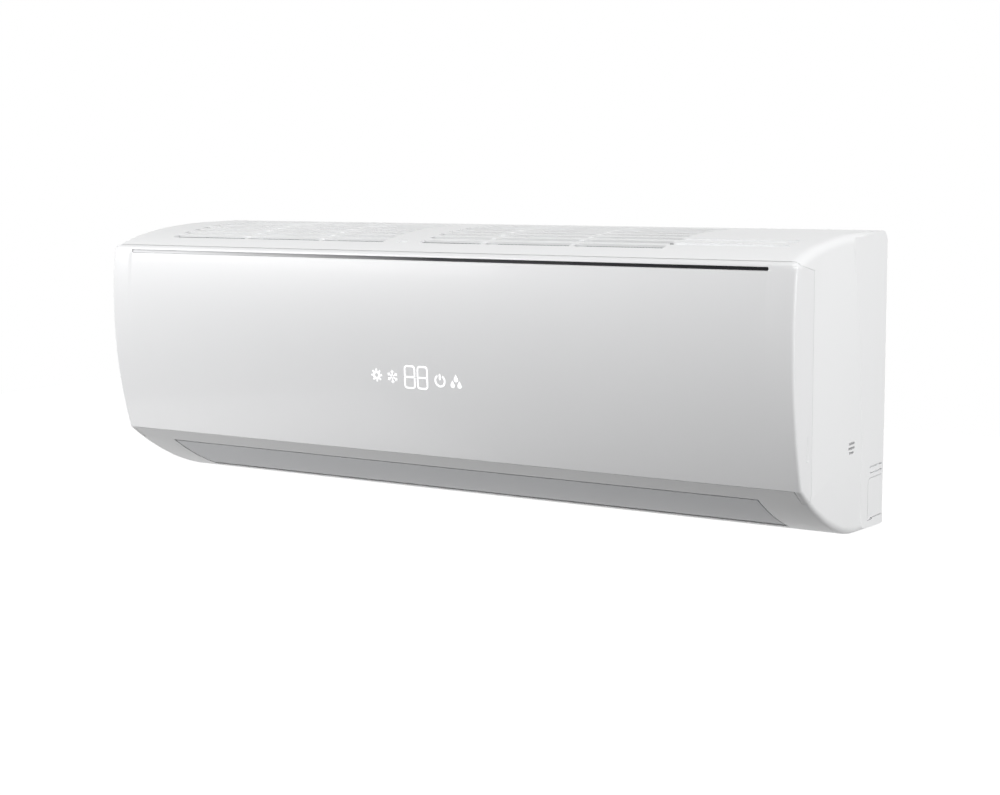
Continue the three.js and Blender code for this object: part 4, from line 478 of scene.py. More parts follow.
def front_panel():
    flange_inner = HALF - SKIN
    skin_end = flange_inner - 4
    thin_end = HALF - TOP_EDGE
    past = HALF + 1
    body = outer_form("panel_skin", swell=True)
    boolean(body, along_x("zone", [panel_zone(0)], -past, past), "INTERSECT")
    cut(body, along_x("hollow", [outline(SKIN)], -thin_end, thin_end))
    cut(body, along_x("ends", [outline(END_SKIN)], -flange_inner, flange_inner))
    cut(body, along_x("chin", [chin_opening()], -skin_end, skin_end))
    join(body, along_x("rib", [groove_rib()], -SLOT_HALF, SLOT_HALF))
    floor_y = front_y((SLOT_LOW + SLOT_HIGH) / 2, SLOT_DEPTH)
    slot_r = (SLOT_HIGH - SLOT_LOW) / 2 - 0.05
    slot = rounded(-SLOT_HALF - 1, SLOT_HALF + 1, SLOT_LOW, SLOT_HIGH, slot_r)
    cut(body, along_y("slot", [slot], -DEPTH - 9, floor_y))
    for a, b in spans(LUG_X0 - 1, ARM_X1 + RUN):
        cut(body, along_x("room", [ring(*PIVOT, LUG_R + RUN)], a, b))
    for a, b in spans(ARM_X0, ARM_X1):
        join(body, along_x("arm", [hinge_arm()], a, b))
    for a, b in spans(LUG_X0 - 0.2, ARM_X0 + 1):
        join(body, along_x("pin", [ring(*PIVOT, PANEL_PIN, 20)], a, b))
    for sign in (-1, 1):
        cut(body, finger_notch(sign))
    return shade(body)


def panel_trim():
    low, high = SLOT_LOW + GAP, SLOT_HIGH - GAP
    front, back = SLOT_DEPTH - 1.3, SLOT_DEPTH - GAP
    corners = ((low, front), (low, back), (high, back), (high, front))
    strip = [(front_y(z, inset), z) for z, inset in corners]
    return shade(along_x("trim_strip", [strip], -SLOT_HALF, SLOT_HALF))


# ---------------------------------------------------------------- louvre
BLADE_INSET, BLADE_STEPS = 0.2, 24
BLADE_LUG_R, BLADE_LUG_REACH, BLADE_LUG_THICK = 4.5, 9.0, 3.0
PIN_OUT = 3.6


def louvre():
    front, rear = -LOUVRE_FRONT + BLADE_BEHIND, -LOUVRE_REAR
    outer = chin_run(front, rear, BLADE_INSET, BLADE_STEPS)
    inner = chin_run(rear, front, BLADE_INSET + LOUVRE_THICK, BLADE_STEPS)
    body = along_x("louvre_blade", [outer + inner], -LOUVRE_HALF, LOUVRE_HALF)
    root = LOUVRE_THICK * 0.6
    lug = [chin_at(-LOUVRE_PIVOT_BACK - BLADE_LUG_REACH, root),
           chin_at(-LOUVRE_PIVOT_BACK + BLADE_LUG_REACH, root),
           *ring(*LOUVRE_PIVOT, BLADE_LUG_R, 16, -0.4, math.pi)]
    for a, b in spans(LOUVRE_HALF - BLADE_LUG_THICK, LOUVRE_HALF):
        join(body, along_x("lug", [lug], a, b))
    for a, b in spans(LOUVRE_HALF - 1, LOUVRE_HALF + PIN_OUT):
        join(body, along_x("pin", [ring(*LOUVRE_PIVOT, LOUVRE_PIN_R, 24)], a, b))
    bevel(body, 0.5, 2)
    return shade(body, 35)


# ---------------------------------------------------------------- casing
KNOCK_FRONT, KNOCK_TOP, KNOCK_BOTTOM, KNOCK_R, KNOCK_GAP = 37.0, -91.0, -129.0, 6.0, 0.4
SCREW_XS, SCREW_Y = (-250.0, 0.0, 240.0), -60.0
SCREW_HEAD, SCREW_SHANK, SCREW_SEAT = 3.4, 1.6, 0.8
WINDOWS = [(-336.0, -60.0), (-36.0, 240.0)]
WINDOW_LOW, WINDOW_HIGH, WINDOW_R = -54.0, 90.0, 6.0
# The terminal opening's left, right, low and high edges.
TERMINAL = (300.0, 372.0, -34.0, 62.0)
TERMINAL_EDGE, TERMINAL_R = 4.0, 3.0
BUTTON_X, BUTTON_Z, BUTTON_R = 300.0, -48.0, 3.4
GRILLE_FIRST, GRILLE_RIB_PITCH, GRILLE_WEB, GRILLE_RIB = -335.0, 98.0, 43.0, 4.0
GRILLE_ROWS, GRILLE_PITCH, GRILLE_SLOT, GRILLE_FRONT, GRILLE_BACK = 9, 16.0, 9.5, 181.0, 37.0
WEB_LEFT = GRILLE_FIRST + 3 * GRILLE_RIB_PITCH - 16
TOP_GROOVES = ((-168, -160), (-150, -142))
TOP_GROOVE_LEFT, TOP_GROOVE_RIGHT, TOP_GROOVE_DEEP = 252.0, 368.0, 1.9
LATCH_FRONT, LATCH_BACK, LATCH_HALF, LATCH_DEEP = -182.0, -174.0, 5.0, 1.2
# Each sensor slit's front end, back end and height.
SLITS = ((-88.5, -76, -51.7), (-90.5, -76, -56), (-88.5, -78, -60.3))
SLIT_HALF = 1.1
LINE_FRONT, LINE_BACK, LINE_ZS, LINE_HALF, LINE_DEEP = -33.0, -4.0, (-80.4, -86.0), 0.8, 3.0
# The end face's crease as points (y, z), from above the top to below the bottom.
CREASE = [(-86, TOP + 4), (-83, 108), (-70, 47), (-64, -15), (-60, -65), (-62, -122), (-52, BOTTOM - 4)]


def recess():
    """Hollow over the closed louvre, deep enough for its rear edge to swing through."""
    py, pz = LOUVRE_PIVOT
    swing = math.hypot(py + LOUVRE_REAR, pz - chin_at(-LOUVRE_REAR)[1]) + 3
    front, rear = -LOUVRE_FRONT - RECESS_AHEAD, -LOUVRE_REAR + LOUVRE_REAR_GAP
    outside = -8
    mouth = [chin_at(front, outside), *chin_run(front + 12, rear - 2, outside, 8), chin_at(rear, outside)]
    vault = [(py + swing * 0.92, pz + swing * 0.42), (py + swing * 0.5, pz + swing * 0.9),
             (py - 12, pz + swing * 0.95)]
    return [*mouth, chin_at(rear, 9), *vault, chin_at(front, 7)]


RECESS = recess()


def duct_shell(grow):
    """The recess's outline moved out from the louvre's pivot."""
    py, pz = LOUVRE_PIVOT
    shell = []
    for y, z in RECESS:
        scale = grow / math.hypot(y - py, z - pz)
        shell.append((y + (y - py) * scale, z + (z - pz) * scale))
    return shell


def cavity():
    """The casing's hollow seen from the end, open at the back."""
    py, pz = PIVOT
    bend = TOP - BACK_R
    back_top = [(4, bend - 3), (-WALL, bend - 3), (-WALL, bend), (-BACK_R + 1, TOP - WALL)]
    shoulder = [(py + 9.6, pz - 1), (front_y(pz - 9, FRAME_BACK), pz - 9)]
    return [*back_top, *top_run(-BACK_R - 2, py + 12, WALL), *shoulder,
            *front_run(pz - 14, CHIN_Z + 6, FRAME_BACK), *chin_run(-LOUVRE_FRONT - 8, -66, WALL),
            (4, BOTTOM + WALL)]


def crease_y(z):
    """The slanting crease of the end face, smoothed through its points."""
    for i in range(len(CREASE) - 1):
        (y1, z1), (y2, z2) = CREASE[i], CREASE[i + 1]
        if z2 <= z <= z1:
            y0 = CREASE[max(i - 1, 0)][0]
            y3 = CREASE[min(i + 2, len(CREASE) - 1)][0]
            t = (z - z1) / (z2 - z1)
            return 0.5 * (2 * y1 + (y2 - y0) * t + (2 * y0 - 5 * y1 + 4 * y2 - y3) * t * t
                          + (3 * y1 - y0 - 3 * y2 + y3) * t ** 3)
    return CREASE[-1][0]


def side_step(sign):
    """What is cut away so that the rear of an end face steps in softly behind the crease."""
    slope, steps, outside, behind = 9.0, 8, HALF + 3, 6
    rings = []
    for z in spread(36, TOP + 4, BOTTOM - 4):
        y = crease_y(z)
        ramp = []
        for k in range(steps + 1):
            s = k / steps
            ramp.append((HALF + HAIR - SIDE_RECESS * s * s * (3 - 2 * s), y + slope * s))
        points = [(outside, y), *ramp, (HALF - SIDE_RECESS + HAIR, behind), (outside, behind)]
        rings.append([(sign * x, py, z) for x, py in points])
    if sign < 0:
        rings = [list(reversed(r)) for r in rings]
    return mesh_object("step", *loft_data(rings))


def panel_space(past):
    """What the casing leaves to the panel: the panel's zone less the casing's own front frame and chin."""
    py, pz = PIVOT
    space = along_x("space", [panel_zone(SEAM)], -past, past)
    inside = -150
    behind = [*front_run(CHIN_Z + 3, pz - 6, FRAME_INSET), (py + 5.3, pz - 3), (py + 6.4, pz + 1.6),
              (inside, pz + 1.6), (inside, CHIN_Z + 3)]
    sill = CHIN_Z + 0.15
    chin = [(inside, CHIN_Z + 4), (front_y(CHIN_Z, FRAME_INSET + 1), CHIN_Z + 4),
            (front_y(CHIN_Z, FRAME_INSET), sill), (front_y(CHIN_Z, -9), sill),
            (-DEPTH, BOTTOM), (inside, BOTTOM)]
    cut(space, along_x("behind", [behind], -SIDE_FIT, SIDE_FIT))
    return cut(space, along_x("chin", [chin], -SIDE + 4, SIDE - 4))


def cut_outlet(body, past):
    """The cheeks at the outlet's ends, the louvre's recess between them and the bores for its pins."""
    for a, b in ((-CHEEK_OUTER, -CHEEK_INNER), (BLANK_LEFT, CHEEK_OUTER)):
        block = along_x("duct", [duct_shell(WALL)], a, b)
        join(body, boolean(block, along_x("inside", [outline(0.4)], -past, past), "INTERSECT"))
    cut(body, along_x("recess", [RECESS], -CHEEK_INNER, CHEEK_INNER))
    for a, b in spans(CHEEK_INNER - 1, CHEEK_OUTER + 1):
        cut(body, along_x("bore", [ring(*LOUVRE_PIVOT, LOUVRE_PIN_R + GAP, 24)], a, b))


def grille_slots():
    """Two fields of slots across the top, with the plain web between them."""
    fields = [(GRILLE_FIRST, WEB_LEFT), (WEB_LEFT + GRILLE_WEB, GRILLE_FIRST + 6 * GRILLE_RIB_PITCH)]
    cuts = []
    for left, right in fields:
        for row in range(GRILLE_ROWS):
            front = -GRILLE_FRONT + row * GRILLE_PITCH
            cuts.append((left, right, front, front + GRILLE_SLOT, top_at(front)[1] - 12, TOP + 4))
    return boxes("slots", cuts)


def surface_band(name, y0, y1, deep, x0, x1):
    """A bar that follows the top's surface, from a little above it down to a depth."""
    above = 3.0
    band = [*top_run(y0, y1, deep, 6), *reversed(top_run(y0, y1, -above, 6))]
    return along_x(name, [band], x0, x1)


def cut_top(body):
    """The grille with its ribs, the shallow grooves beside it and the latch mark on its web."""
    cut(body, grille_slots())
    for y0, y1 in TOP_GROOVES:
        cut(body, surface_band("groove", y0, y1, TOP_GROOVE_DEEP, TOP_GROOVE_LEFT, TOP_GROOVE_RIGHT))
    middle = WEB_LEFT + GRILLE_WEB / 2
    left, right = middle - LATCH_HALF, middle + LATCH_HALF
    cut(body, surface_band("latch", LATCH_FRONT, LATCH_BACK, LATCH_DEEP, left, right))
    rib = [*top_run(-GRILLE_FRONT - 4, -GRILLE_BACK, 1.2, 16),
           *reversed(top_run(-GRILLE_FRONT + 1, -GRILLE_BACK, 7.2, 16))]
    for i in (1, 2, 4, 5):
        x = GRILLE_FIRST + i * GRILLE_RIB_PITCH
        join(body, along_x("rib", [rib], x - GRILLE_RIB / 2, x + GRILLE_RIB / 2))


def cut_front(body):
    """Behind the panel: filter windows, hinge lugs, the terminal opening and the button's hole."""
    front, behind = -DEPTH, -DEPTH + PAST
    py, pz = PIVOT
    for left, right in WINDOWS:
        cut(body, along_y("window", [rounded(left, right, WINDOW_LOW, WINDOW_HIGH, WINDOW_R)], front, behind))
    lug = [*ring(*PIVOT, LUG_R, 20, -math.pi / 8, math.pi * 5 / 4), (py + 9, pz - 7), (py + 9, pz - 2.4)]
    for a, b in spans(LUG_X0, LUG_X1):
        join(body, along_x("lug", [lug], a, b))
    for a, b in spans(LUG_X0 - 1, LUG_X1 + 1):
        cut(body, along_x("bore", [ring(*PIVOT, PANEL_PIN + GAP, 20)], a, b))
    left, right, low, high = TERMINAL
    edge = TERMINAL_EDGE
    service = rounded(left + edge, right - edge, low + edge, high - edge, TERMINAL_R)
    cut(body, along_y("service", [service], front, behind))
    cut(body, along_y("button", [ring(BUTTON_X, BUTTON_Z, BUTTON_R + GAP, 32)], front, behind))


def knock_outline(grow):
    return [(6, KNOCK_BOTTOM - grow), (6, KNOCK_TOP + grow),
            *ring(-KNOCK_FRONT + KNOCK_R, KNOCK_TOP - KNOCK_R, KNOCK_R + grow, 8, math.pi / 2, math.pi / 2),
            (-KNOCK_FRONT - grow, KNOCK_BOTTOM - grow)]


def cut_ends(body):
    """The sensor slits of the right end, and both ends' vent lines and knock-out openings."""
    inside, outside = INNER_X - 1, HALF + 1
    cut(body, boxes("slits", [(inside, outside, a, b, z - SLIT_HALF, z + SLIT_HALF) for a, b, z in SLITS]))
    for sign in (-1, 1):
        x = sign * (HALF - SIDE_RECESS)
        x0, x1 = x - LINE_DEEP, x + LINE_DEEP
        lines = [(x0, x1, LINE_FRONT, LINE_BACK, z - LINE_HALF, z + LINE_HALF) for z in LINE_ZS]
        lip = (x0, x1, -KNOCK_FRONT, -KNOCK_FRONT + 12, KNOCK_BOTTOM - 2, KNOCK_BOTTOM + 0.5)
        cut(body, boxes("lines", [*lines, lip]))
        a, b = (inside, outside) if sign > 0 else (-outside, -inside)
        cut(body, along_x("knock", [knock_outline(KNOCK_GAP)], a, b))


def cut_screw_holes(body):
    low = BOTTOM - 1
    for x in SCREW_XS:
        cut(body, along_z("screw", [ring(x, SCREW_Y, SCREW_SHANK + GAP, 16)], low, BOTTOM + WALL + 1))
        cut(body, along_z("seat", [ring(x, SCREW_Y, SCREW_HEAD + GAP, 24)], low, BOTTOM + SCREW_SEAT))


def front_casing():
    past = HALF + 2
    body = cut(outer_form("casing_shell"), panel_space(past), side_step(1), side_step(-1))
    cut(body, along_x("cavity", [cavity()], -INNER_X, INNER_X))
    cut_outlet(body, past)
    cut_top(body)
    cut_front(body)
    cut_ends(body)
    cut_screw_holes(body)
    return shade(body)


# ---------------------------------------------------------------- materials
COAT_ROUGHNESS = 0.08
GRAIN_HEIGHT, GRAIN_DETAIL, SLOW_DETAIL = 0.0002, 3, 4


def shader_of(mat):
    return mat.node_tree.nodes["Principled BSDF"]


def noise_value(mat, scale, detail):
    """Soft random spots over a piece, from 0 to 1."""
    nodes, links = mat.node_tree.nodes, mat.node_tree.links
    where = nodes.new("ShaderNodeTexCoord")
    noise = nodes.new("ShaderNodeTexNoise")
    noise.inputs["Scale"].default_value = scale
    noise.inputs["Detail"].default_value = detail
    links.new(where.outputs["Object"], noise.inputs["Vector"])
    return noise.outputs["Fac"]


def colour_by(mat, value, low, high, positions=(0.0, 1.0), socket="Base Color"):
    """Lets a colour of the shader go from low to high with the value."""
    nodes, links = mat.node_tree.nodes, mat.node_tree.links
    ramp = nodes.new("ShaderNodeValToRGB")
    for element, colour, position in zip(ramp.color_ramp.elements, (low, high), positions):
        element.position = position
        element.color = (*colour, 1)
    links.new(value, ramp.inputs["Fac"])
    links.new(ramp.outputs["Color"], shader_of(mat).inputs[socket])


def raise_by(mat, value, height, strength=1.0):
    """Lets the surface seem to rise with the value, by a height in metres."""
    nodes, links = mat.node_tree.nodes, mat.node_tree.links
    bump = nodes.new("ShaderNodeBump")
    bump.inputs["Strength"].default_value = strength
    bump.inputs["Distance"].default_value = height
    links.new(value, bump.inputs["Height"])
    links.new(bump.outputs["Normal"], shader_of(mat).inputs["Normal"])


def mapped(nodes, links, value, **ends):
    """The value carried from one range to another."""
    node = nodes.new("ShaderNodeMapRange")
    for end, number in ends.items():
        node.inputs[end.replace("_", " ")].default_value = number
    links.new(value, node.inputs["Value"])
    return node.outputs["Result"]


def larger(nodes, links, first, second):
    node = nodes.new("ShaderNodeMath")
    node.operation = "MAXIMUM"
    links.new(first, node.inputs[0])
    links.new(second, node.inputs[1])
    return node.outputs[0]


def material(name, colour, roughness, metallic=0.0, coat=0.0, specular=0.5, bump=0.0, bump_scale=900.0,
             rough_vary=0.0, colour_vary=0.0, vary_scale=6.0):
    """A plain surface with fine moulded grain, and slow changes of gloss and shade."""
    mat = bpy.data.materials.new(name)
    mat.use_nodes = True
    nodes, links = mat.node_tree.nodes, mat.node_tree.links
    shader = shader_of(mat)
    shader.inputs["Base Color"].default_value = (*colour, 1)
    shader.inputs["Roughness"].default_value = roughness
    shader.inputs["Metallic"].default_value = metallic
    shader.inputs["Coat Weight"].default_value = coat
    shader.inputs["Coat Roughness"].default_value = COAT_ROUGHNESS
    shader.inputs["Specular IOR Level"].default_value = specular
    if bump:
        raise_by(mat, noise_value(mat, bump_scale, GRAIN_DETAIL), GRAIN_HEIGHT, bump)
    if rough_vary or colour_vary:
        slow = noise_value(mat, vary_scale, SLOW_DETAIL)
    if rough_vary:
        gloss = mapped(nodes, links, slow, To_Min=roughness - rough_vary, To_Max=roughness + rough_vary)
        links.new(gloss, shader.inputs["Roughness"])
    if colour_vary:
        colour_by(mat, slow, [c * (1 - colour_vary) for c in colour], colour, (0.3, 0.7))
    return mat


def trim_painted_reflection_material():
    """The polished strip in the header groove: dark, with a painted reflection that grows lighter towards its
    left end.
    """
    mat = material("trim_dark", (0.008, 0.008, 0.009), 0.3, specular=0.12, rough_vary=0.06)
    nodes, links = mat.node_tree.nodes, mat.node_tree.links
    where = nodes.new("ShaderNodeTexCoord")
    split = nodes.new("ShaderNodeSeparateXYZ")
    links.new(where.outputs["Object"], split.inputs[0])
    # Painted reflection: the strip's colour is light at its left end and fades to dark by the middle.
    along = mapped(nodes, links, split.outputs["X"], From_Min=-0.30, From_Max=0.02)
    colour_by(mat, along, (0.75, 0.75, 0.76), (0.01, 0.01, 0.012))
    return mat


def glow_material():
    """Lit marks: a white that is a little uneven from spot to spot, as diodes make it behind plastic."""
    mat = material("display_glow", (0.9, 0.9, 0.9), 0.5, bump=0.03, rough_vary=0.05)
    colour_by(mat, noise_value(mat, 260, 1), (0.84, 0.87, 0.92), (1, 1, 1), socket="Emission Color")
    shader_of(mat).inputs["Emission Strength"].default_value = 0.75
    return mat


def lines_value(nodes, links, axis, pitch):
    """Even lines across an axis, one every pitch metres: 1 on a line and 0 between lines."""
    soft = 0.25
    where = nodes.new("ShaderNodeTexCoord")
    wave = nodes.new("ShaderNodeTexWave")
    wave.wave_type = "BANDS"
    wave.bands_direction = axis
    wave.inputs["Scale"].default_value = math.pi / (10 * pitch)
    wave.inputs["Distortion"].default_value = 0
    links.new(where.outputs["Object"], wave.inputs["Vector"])
    return mapped(nodes, links, wave.outputs["Fac"], From_Min=0.5 - soft, From_Max=0.5 + soft)


def lined_material(name, line_colour, shaded_gap_colour, axes, pitch, roughness, metallic=0.0):
    """Fine parallel or crossing lines, with the gaps between them painted dark as shade, for fins and woven
    mesh.
    """
    mat = material(name, line_colour, roughness, metallic, rough_vary=0.08)
    nodes, links = mat.node_tree.nodes, mat.node_tree.links
    value = lines_value(nodes, links, axes[0], pitch)
    for axis in axes[1:]:
        value = larger(nodes, links, value, lines_value(nodes, links, axis, pitch))
    # Painted shade: the gaps between the lines take the dark colour.
    colour_by(mat, value, shaded_gap_colour, line_colour)
    raise_by(mat, value, 0.0004)
    return mat


FIN_PITCH, MESH_PITCH = 0.0016, 0.0012
PLAIN_LOOKS = {
    "casing_white": ((0.88, 0.885, 0.89), 0.32,
                     dict(coat=0.1, specular=0.4, bump=0.05, rough_vary=0.04, colour_vary=0.01)),
    "panel_silver": ((0.84, 0.843, 0.85), 0.36,
                     dict(coat=0.1, bump=0.06, rough_vary=0.05, colour_vary=0.012)),
    "louvre_silver": ((0.83, 0.84, 0.86), 0.42,
                      dict(specular=0.35, bump=0.06, rough_vary=0.05, colour_vary=0.012)),
    "light_guide": ((0.8, 0.8, 0.8), 0.6, dict(bump=0.1, rough_vary=0.08, colour_vary=0.06, vary_scale=60)),
    "circuit_board": ((0.03, 0.16, 0.06), 0.45, dict(coat=0.4, colour_vary=0.3, vary_scale=90)),
    "inner_grey": ((0.30, 0.31, 0.32), 0.6, dict(bump=0.15, rough_vary=0.08, colour_vary=0.06)),
    "inner_white": ((0.72, 0.73, 0.74), 0.5, dict(bump=0.1, rough_vary=0.06, colour_vary=0.03)),
    "inner_black": ((0.022, 0.022, 0.024), 0.5, dict(bump=0.15, rough_vary=0.08, colour_vary=0.2)),
    "copper": ((0.62, 0.27, 0.13), 0.32, dict(metallic=1.0, rough_vary=0.1, colour_vary=0.25, vary_scale=30)),
    "brass": ((0.6, 0.42, 0.16), 0.3, dict(metallic=1.0, rough_vary=0.08, colour_vary=0.1, vary_scale=60)),
    "zinc_steel": ((0.5, 0.52, 0.54), 0.42,
                   dict(metallic=1.0, bump=0.2, bump_scale=300, rough_vary=0.12, colour_vary=0.18,
                        vary_scale=55)),
    "shaft_steel": ((0.55, 0.56, 0.58), 0.25, dict(metallic=1.0, rough_vary=0.06)),
    "rubber": ((0.015, 0.015, 0.015), 0.8, dict(bump=0.3, colour_vary=0.2)),
}
MATERIALS = {look: material(look, colour, roughness, **finish)
             for look, (colour, roughness, finish) in PLAIN_LOOKS.items()}
# The header strip's material carries a painted reflection, lighter towards its left end.
MATERIALS["trim_dark"] = trim_painted_reflection_material()
MATERIALS["display_glow"] = glow_material()
# The dark second colour of the fins and the mesh is painted shade in the gaps between their lines.
MATERIALS["fins"] = lined_material(
    "fins", (0.70, 0.72, 0.74), (0.09, 0.095, 0.10), "X", FIN_PITCH, 0.35, 0.9)
MATERIALS["mesh_grey"] = lined_material(
    "mesh_grey", (0.20, 0.21, 0.22), (0.03, 0.032, 0.034), "XZ", MESH_PITCH, 0.7)


def paint(obj, look):
    obj.data.materials.clear()
    obj.data.materials.append(MATERIALS[look])
    return obj


def place(obj, name, body, look, slot, *nodes):
    """Names a finished piece, gives it its look, and sets it on its body in place of the frame's nodes."""
    obj.name = name
    obj.data.name = name
    paint(obj, look)
    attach(obj, body)
    if nodes:
        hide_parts(*nodes)
    return obj


# ---------------------------------------------------------------- nodes kept from the frame
SLOT_OF = {part["node"]: part["material_slot"] for part in frame["record"]["subparts"]}
for node_name, node in frame["nodes"].items():
    paint(node, "louvre_silver" if node_name == "louvre" else SLOT_OF[node_name])
    shade(node, 32)

place(front_casing(), "casing", "body", "casing_white", "casing_white", "front_casing")
place(front_panel(), "panel", "panel", "panel_silver", "panel_silver", "front_panel")
place(panel_trim(), "header_strip", "panel", "trim_dark", "trim_dark", "panel_trim")
place(louvre(), "louvre_flap", "louvre", "louvre_silver", "panel_silver", "louvre")


# ---------------------------------------------------------------- display
MARK_PROUD, MARK_DEEP = 0.12, 0.3
FIGURE_LOW, FIGURE_HIGH, FIGURE_LINE, FIGURE_R, FIGURE_SLANT = -13.2, 9.8, 1.6, 3.6, 1.4
FIGURE_SPANS = ((-12.0, 1.2), (3.2, 16.0))
ICON_R, POWER_R, POWER_LINE, DROP_SIZE = 6.6, 6.2, 1.6, 4.6
SUN_AT, FLAKE_AT, POWER_AT = (-45, -2), (-26, -2.5), (30, -3.4)
DROPS_AT = ((48.6, -1.2), (44.4, -7.0), (52.2, -7.2))


def on_panel(x, z, proud):
    """A point on the panel's face, at a height along its arc."""
    ny, nz = front_normal(z)
    out = proud + insert_swell(x, z)
    return x, front_y(z) + ny * out, z + nz * out


def glow_piece(name, outlines):
    """Flat marks laid on the panel's face, a hair proud of it."""
    parts = []
    for points in outlines:
        if area_of(points) < 0:
            points = list(reversed(points))
        count = len(points)
        verts = [on_panel(x, z, proud) for proud in (-MARK_DEEP, MARK_PROUD) for x, z in points]
        faces = [[count - 1 - i for i in range(count)], [count + i for i in range(count)]]
        faces += [[i, (i + 1) % count, count + (i + 1) % count, count + i] for i in range(count)]
        parts.append((verts, [list(reversed(f)) for f in faces]))
    return mesh_object(name, *merge_data(parts))


def stroke(a, b, width):
    """A straight mark with pointed ends, as a digit's segment has."""
    (ax, az), (bx, bz) = a, b
    length = math.hypot(bx - ax, bz - az)
    dx, dz = (bx - ax) / length, (bz - az) / length
    h = width / 2
    return [(ax, az),
            (ax + dx * h - dz * h, az + dz * h + dx * h), (bx - dx * h - dz * h, bz - dz * h + dx * h),
            (bx, bz),
            (bx - dx * h + dz * h, bz - dz * h - dx * h), (ax + dx * h + dz * h, az + dz * h - dx * h)]


def eight(left, right):
    """A lit figure eight with round corners: a cap, a cup and the bar between them."""
    low, high, width = FIGURE_LOW, FIGURE_HIGH, FIGURE_LINE
    middle, joint, bends, bar_gap = (low + high) / 2, 0.5, 12, 0.3

    def lean(points):
        return [(u + FIGURE_SLANT * (v - middle) / (high - low), v) for u, v in points]

    def cap(sign):
        end, foot = (high if sign > 0 else low), middle + sign * joint
        outer, inner = [], []
        for line, inset in ((outer, 0.0), (inner, width)):
            bend = FIGURE_R - inset
            line.append((right - inset, foot))
            for k in range(bends + 1):
                a = math.pi * k / bends
                centre = right - FIGURE_R if k <= bends / 2 else left + FIGURE_R
                line.append((centre + bend * math.cos(a), end - sign * FIGURE_R + sign * bend * math.sin(a)))
            line.append((left + inset, foot))
        return outer + inner[::-1]
    bar_left, bar_right = left + width + bar_gap, right - width - bar_gap
    bar = [(bar_left, middle - width / 2), (bar_right, middle - width / 2),
           (bar_right, middle + width / 2), (bar_left, middle + width / 2)]
    return [lean(points) for points in (cap(1), cap(-1), bar)]


def arc_band(x, z, r0, r1, start, sweep, sides=28):
    """A bent bar as one outline, out along its outer arc and back along its inner one."""
    return [*ring(x, z, r1, sides, start, sweep), *reversed(ring(x, z, r0, sides, start, sweep))]


def sun(x, z):
    """A hollow disc in two halves, ringed with short rays."""
    radius, rays = ICON_R, 8
    half = math.pi * 0.985
    marks = [arc_band(x, z, radius * 0.34, radius * 0.66, start, half, 14) for start in (0.0, math.pi)]
    for k in range(rays):
        a = 2 * math.pi * k / rays
        c, s = math.cos(a), math.sin(a)
        root = (x + c * radius * 0.7, z + s * radius * 0.7)
        marks.append(stroke(root, (x + c * radius, z + s * radius), 2.0))
    return marks


def snowflake(x, z):
    """Six arms from the middle, each with two short branches."""
    radius = ICON_R
    branch = radius * 0.38
    marks = []
    for k in range(6):
        a = math.pi * k / 3 + math.pi / 6
        c, s = math.cos(a), math.sin(a)
        marks.append(stroke((x + c * 0.9, z + s * 0.9), (x + c * radius, z + s * radius), 0.9))
        root = (x + c * radius * 0.55, z + s * radius * 0.55)
        for side in (-1, 1):
            b = a + side * math.pi / 4
            marks.append(stroke(root, (root[0] + math.cos(b) * branch, root[1] + math.sin(b) * branch), 0.7))
    return marks


def drop(x, z):
    """A round foot drawn up to a point."""
    foot = ring(x, z, DROP_SIZE * 0.5, 20, math.radians(150), math.radians(240))
    return foot + [(x, z + DROP_SIZE * 1.05)]


def power(x, z):
    """A ring open at its top, with an upright bar in the opening."""
    band = arc_band(x, z, POWER_R - POWER_LINE, POWER_R, math.radians(122), math.radians(296))
    return [band, stroke((x, z + 0.5), (x, z + POWER_R + 0.6), 1.8)]


MARKS = {
    "display_figures": [line for left, right in FIGURE_SPANS for line in eight(left, right)],
    "display_sun": sun(*SUN_AT),
    "display_snowflake": snowflake(*FLAKE_AT),
    "display_power": power(*POWER_AT),
    "display_drops": [drop(x, z) for x, z in DROPS_AT],
}
for mark_name, mark_outlines in MARKS.items():
    place(glow_piece("mark", mark_outlines), mark_name, "panel", "display_glow", "light_guide")


# ---------------------------------------------------------------- light, floor, camera
# Each lamp: where it hangs, where it points, its two sides (all in metres) and its power in watts.
LIGHTS = {
    "key": ((-1.2, -1.4, 0.7), (-0.1, -0.2, 0), (0.9, 0.9), 21.5),
    "crown": ((0.45, -0.95, 1.45), (0.1, -0.15, 0), (1.0, 0.8), 10.0),
    "front": ((0.5, -2.6, 0.3), (0, -0.2, 0), (1.8, 1.2), 4.0),
    "side": ((2.1, -0.3, 0.55), (0.395, -0.1, 0), (1.0, 1.0), 27.5),
    "low": ((-1.1, -0.9, -0.8), (-0.1, -0.15, -0.1), (0.8, 0.5), 3.4),
}
AMBIENT, SEEN_WORLD, SEEN_FLOOR = 0.08, 1.0, 0.97
FLOOR_Z, FLOOR_REACH, FLOOR_SHADE = -2200, 14000, 0.45
CAMERA_AT, CAMERA_LENS = (1.0265, -1.6325, 0.2017), 66.09
CAMERA_TURN, CAMERA_PITCH, CAMERA_ROLL = 33.127, 7.265, -0.339


def area_light(name, at, target, size, power):
    data = bpy.data.lights.new(name, "AREA")
    data.shape = "RECTANGLE"
    data.size, data.size_y = size
    data.energy = power
    obj = bpy.data.objects.new(name, data)
    obj.location = at
    obj.rotation_mode = "QUATERNION"
    obj.rotation_quaternion = (Vector(target) - Vector(at)).to_track_quat("-Z", "Y")
    bpy.context.scene.collection.objects.link(obj)


def seen_ray(nodes, links):
    """1 for what the camera sees straight, in a gloss or through glass, and 0 for light on the unit."""
    path = nodes.new("ShaderNodeLightPath")
    value = path.outputs["Is Camera Ray"]
    for kind in ("Is Glossy Ray", "Is Transmission Ray"):
        value = larger(nodes, links, value, path.outputs[kind])
    return value


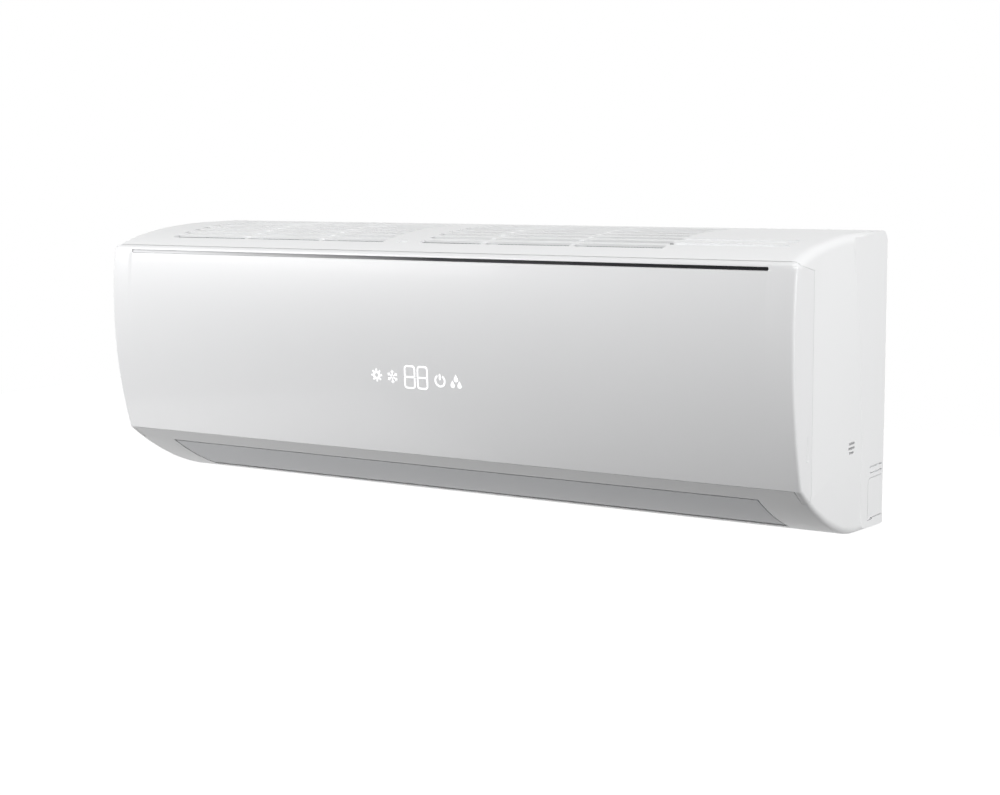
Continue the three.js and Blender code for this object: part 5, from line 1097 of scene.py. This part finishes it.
def mix_by_seen(nodes, links, unseen, seen, surface):
    """Gives a surface one shader for the light it sheds and another for what is seen of it."""
    mix = nodes.new("ShaderNodeMixShader")
    links.new(seen_ray(nodes, links), mix.inputs["Fac"])
    links.new(unseen, mix.inputs[1])
    links.new(seen, mix.inputs[2])
    links.new(mix.outputs[0], surface)


def backdrop_world():
    """Seen as plain white, and lighting the unit only faintly."""
    world = bpy.data.worlds.new("studio")
    bpy.context.scene.world = world
    world.use_nodes = True
    nodes, links = world.node_tree.nodes, world.node_tree.links
    nodes.clear()
    out = nodes.new("ShaderNodeOutputWorld")
    sides = []
    for strength in (AMBIENT, SEEN_WORLD):
        side = nodes.new("ShaderNodeBackground")
        side.inputs["Color"].default_value = (1, 1, 1, 1)
        side.inputs["Strength"].default_value = strength
        sides.append(side.outputs[0])
    mix_by_seen(nodes, links, *sides, out.inputs["Surface"])


def floor():
    """A wide floor far below the unit, seen as pale, on which the unit's shadow stays faint and soft."""
    reach = FLOOR_REACH
    corners = [(-reach, -reach), (reach, -reach), (reach, reach), (-reach, reach)]
    obj = mesh_object("floor", [(x, y, FLOOR_Z) for x, y in corners], [[0, 1, 2, 3]])
    mat = bpy.data.materials.new("floor_pale")
    mat.use_nodes = True
    nodes, links = mat.node_tree.nodes, mat.node_tree.links
    shader = shader_of(mat)
    shader.inputs["Base Color"].default_value = (FLOOR_SHADE, FLOOR_SHADE, FLOOR_SHADE, 1)
    shader.inputs["Roughness"].default_value = 0.9
    glow = nodes.new("ShaderNodeEmission")
    glow.inputs["Strength"].default_value = SEEN_FLOOR
    lit = nodes.new("ShaderNodeAddShader")
    links.new(shader.outputs[0], lit.inputs[0])
    links.new(glow.outputs[0], lit.inputs[1])
    mix_by_seen(nodes, links, shader.outputs[0], lit.outputs[0], nodes["Material Output"].inputs["Surface"])
    obj.data.materials.append(mat)


def camera():
    """At the photograph's viewing angle."""
    turn, pitch, roll = (math.radians(angle) for angle in (CAMERA_TURN, CAMERA_PITCH, CAMERA_ROLL))
    forward = Vector((-math.sin(turn) * math.cos(pitch), math.cos(turn) * math.cos(pitch), -math.sin(pitch)))
    right = Vector((math.cos(turn), math.sin(turn), 0))
    up = right.cross(forward)
    right, up = (right * math.cos(roll) + up * math.sin(roll), up * math.cos(roll) - right * math.sin(roll))
    data = bpy.data.cameras.new("camera")
    data.sensor_width = 36.0
    data.lens = CAMERA_LENS
    data.clip_start, data.clip_end = 0.05, 60
    obj = bpy.data.objects.new("camera", data)
    turned = Matrix((right, up, -forward)).transposed()
    obj.matrix_world = Matrix.Translation(CAMERA_AT) @ turned.to_4x4()
    bpy.context.scene.collection.objects.link(obj)
    bpy.context.scene.camera = obj


for light_name, (at, target, size, power_watts) in LIGHTS.items():
    area_light("light_" + light_name, at, target, size, power_watts)
backdrop_world()
floor()
camera()
bpy.context.scene.view_settings.view_transform = "Standard"
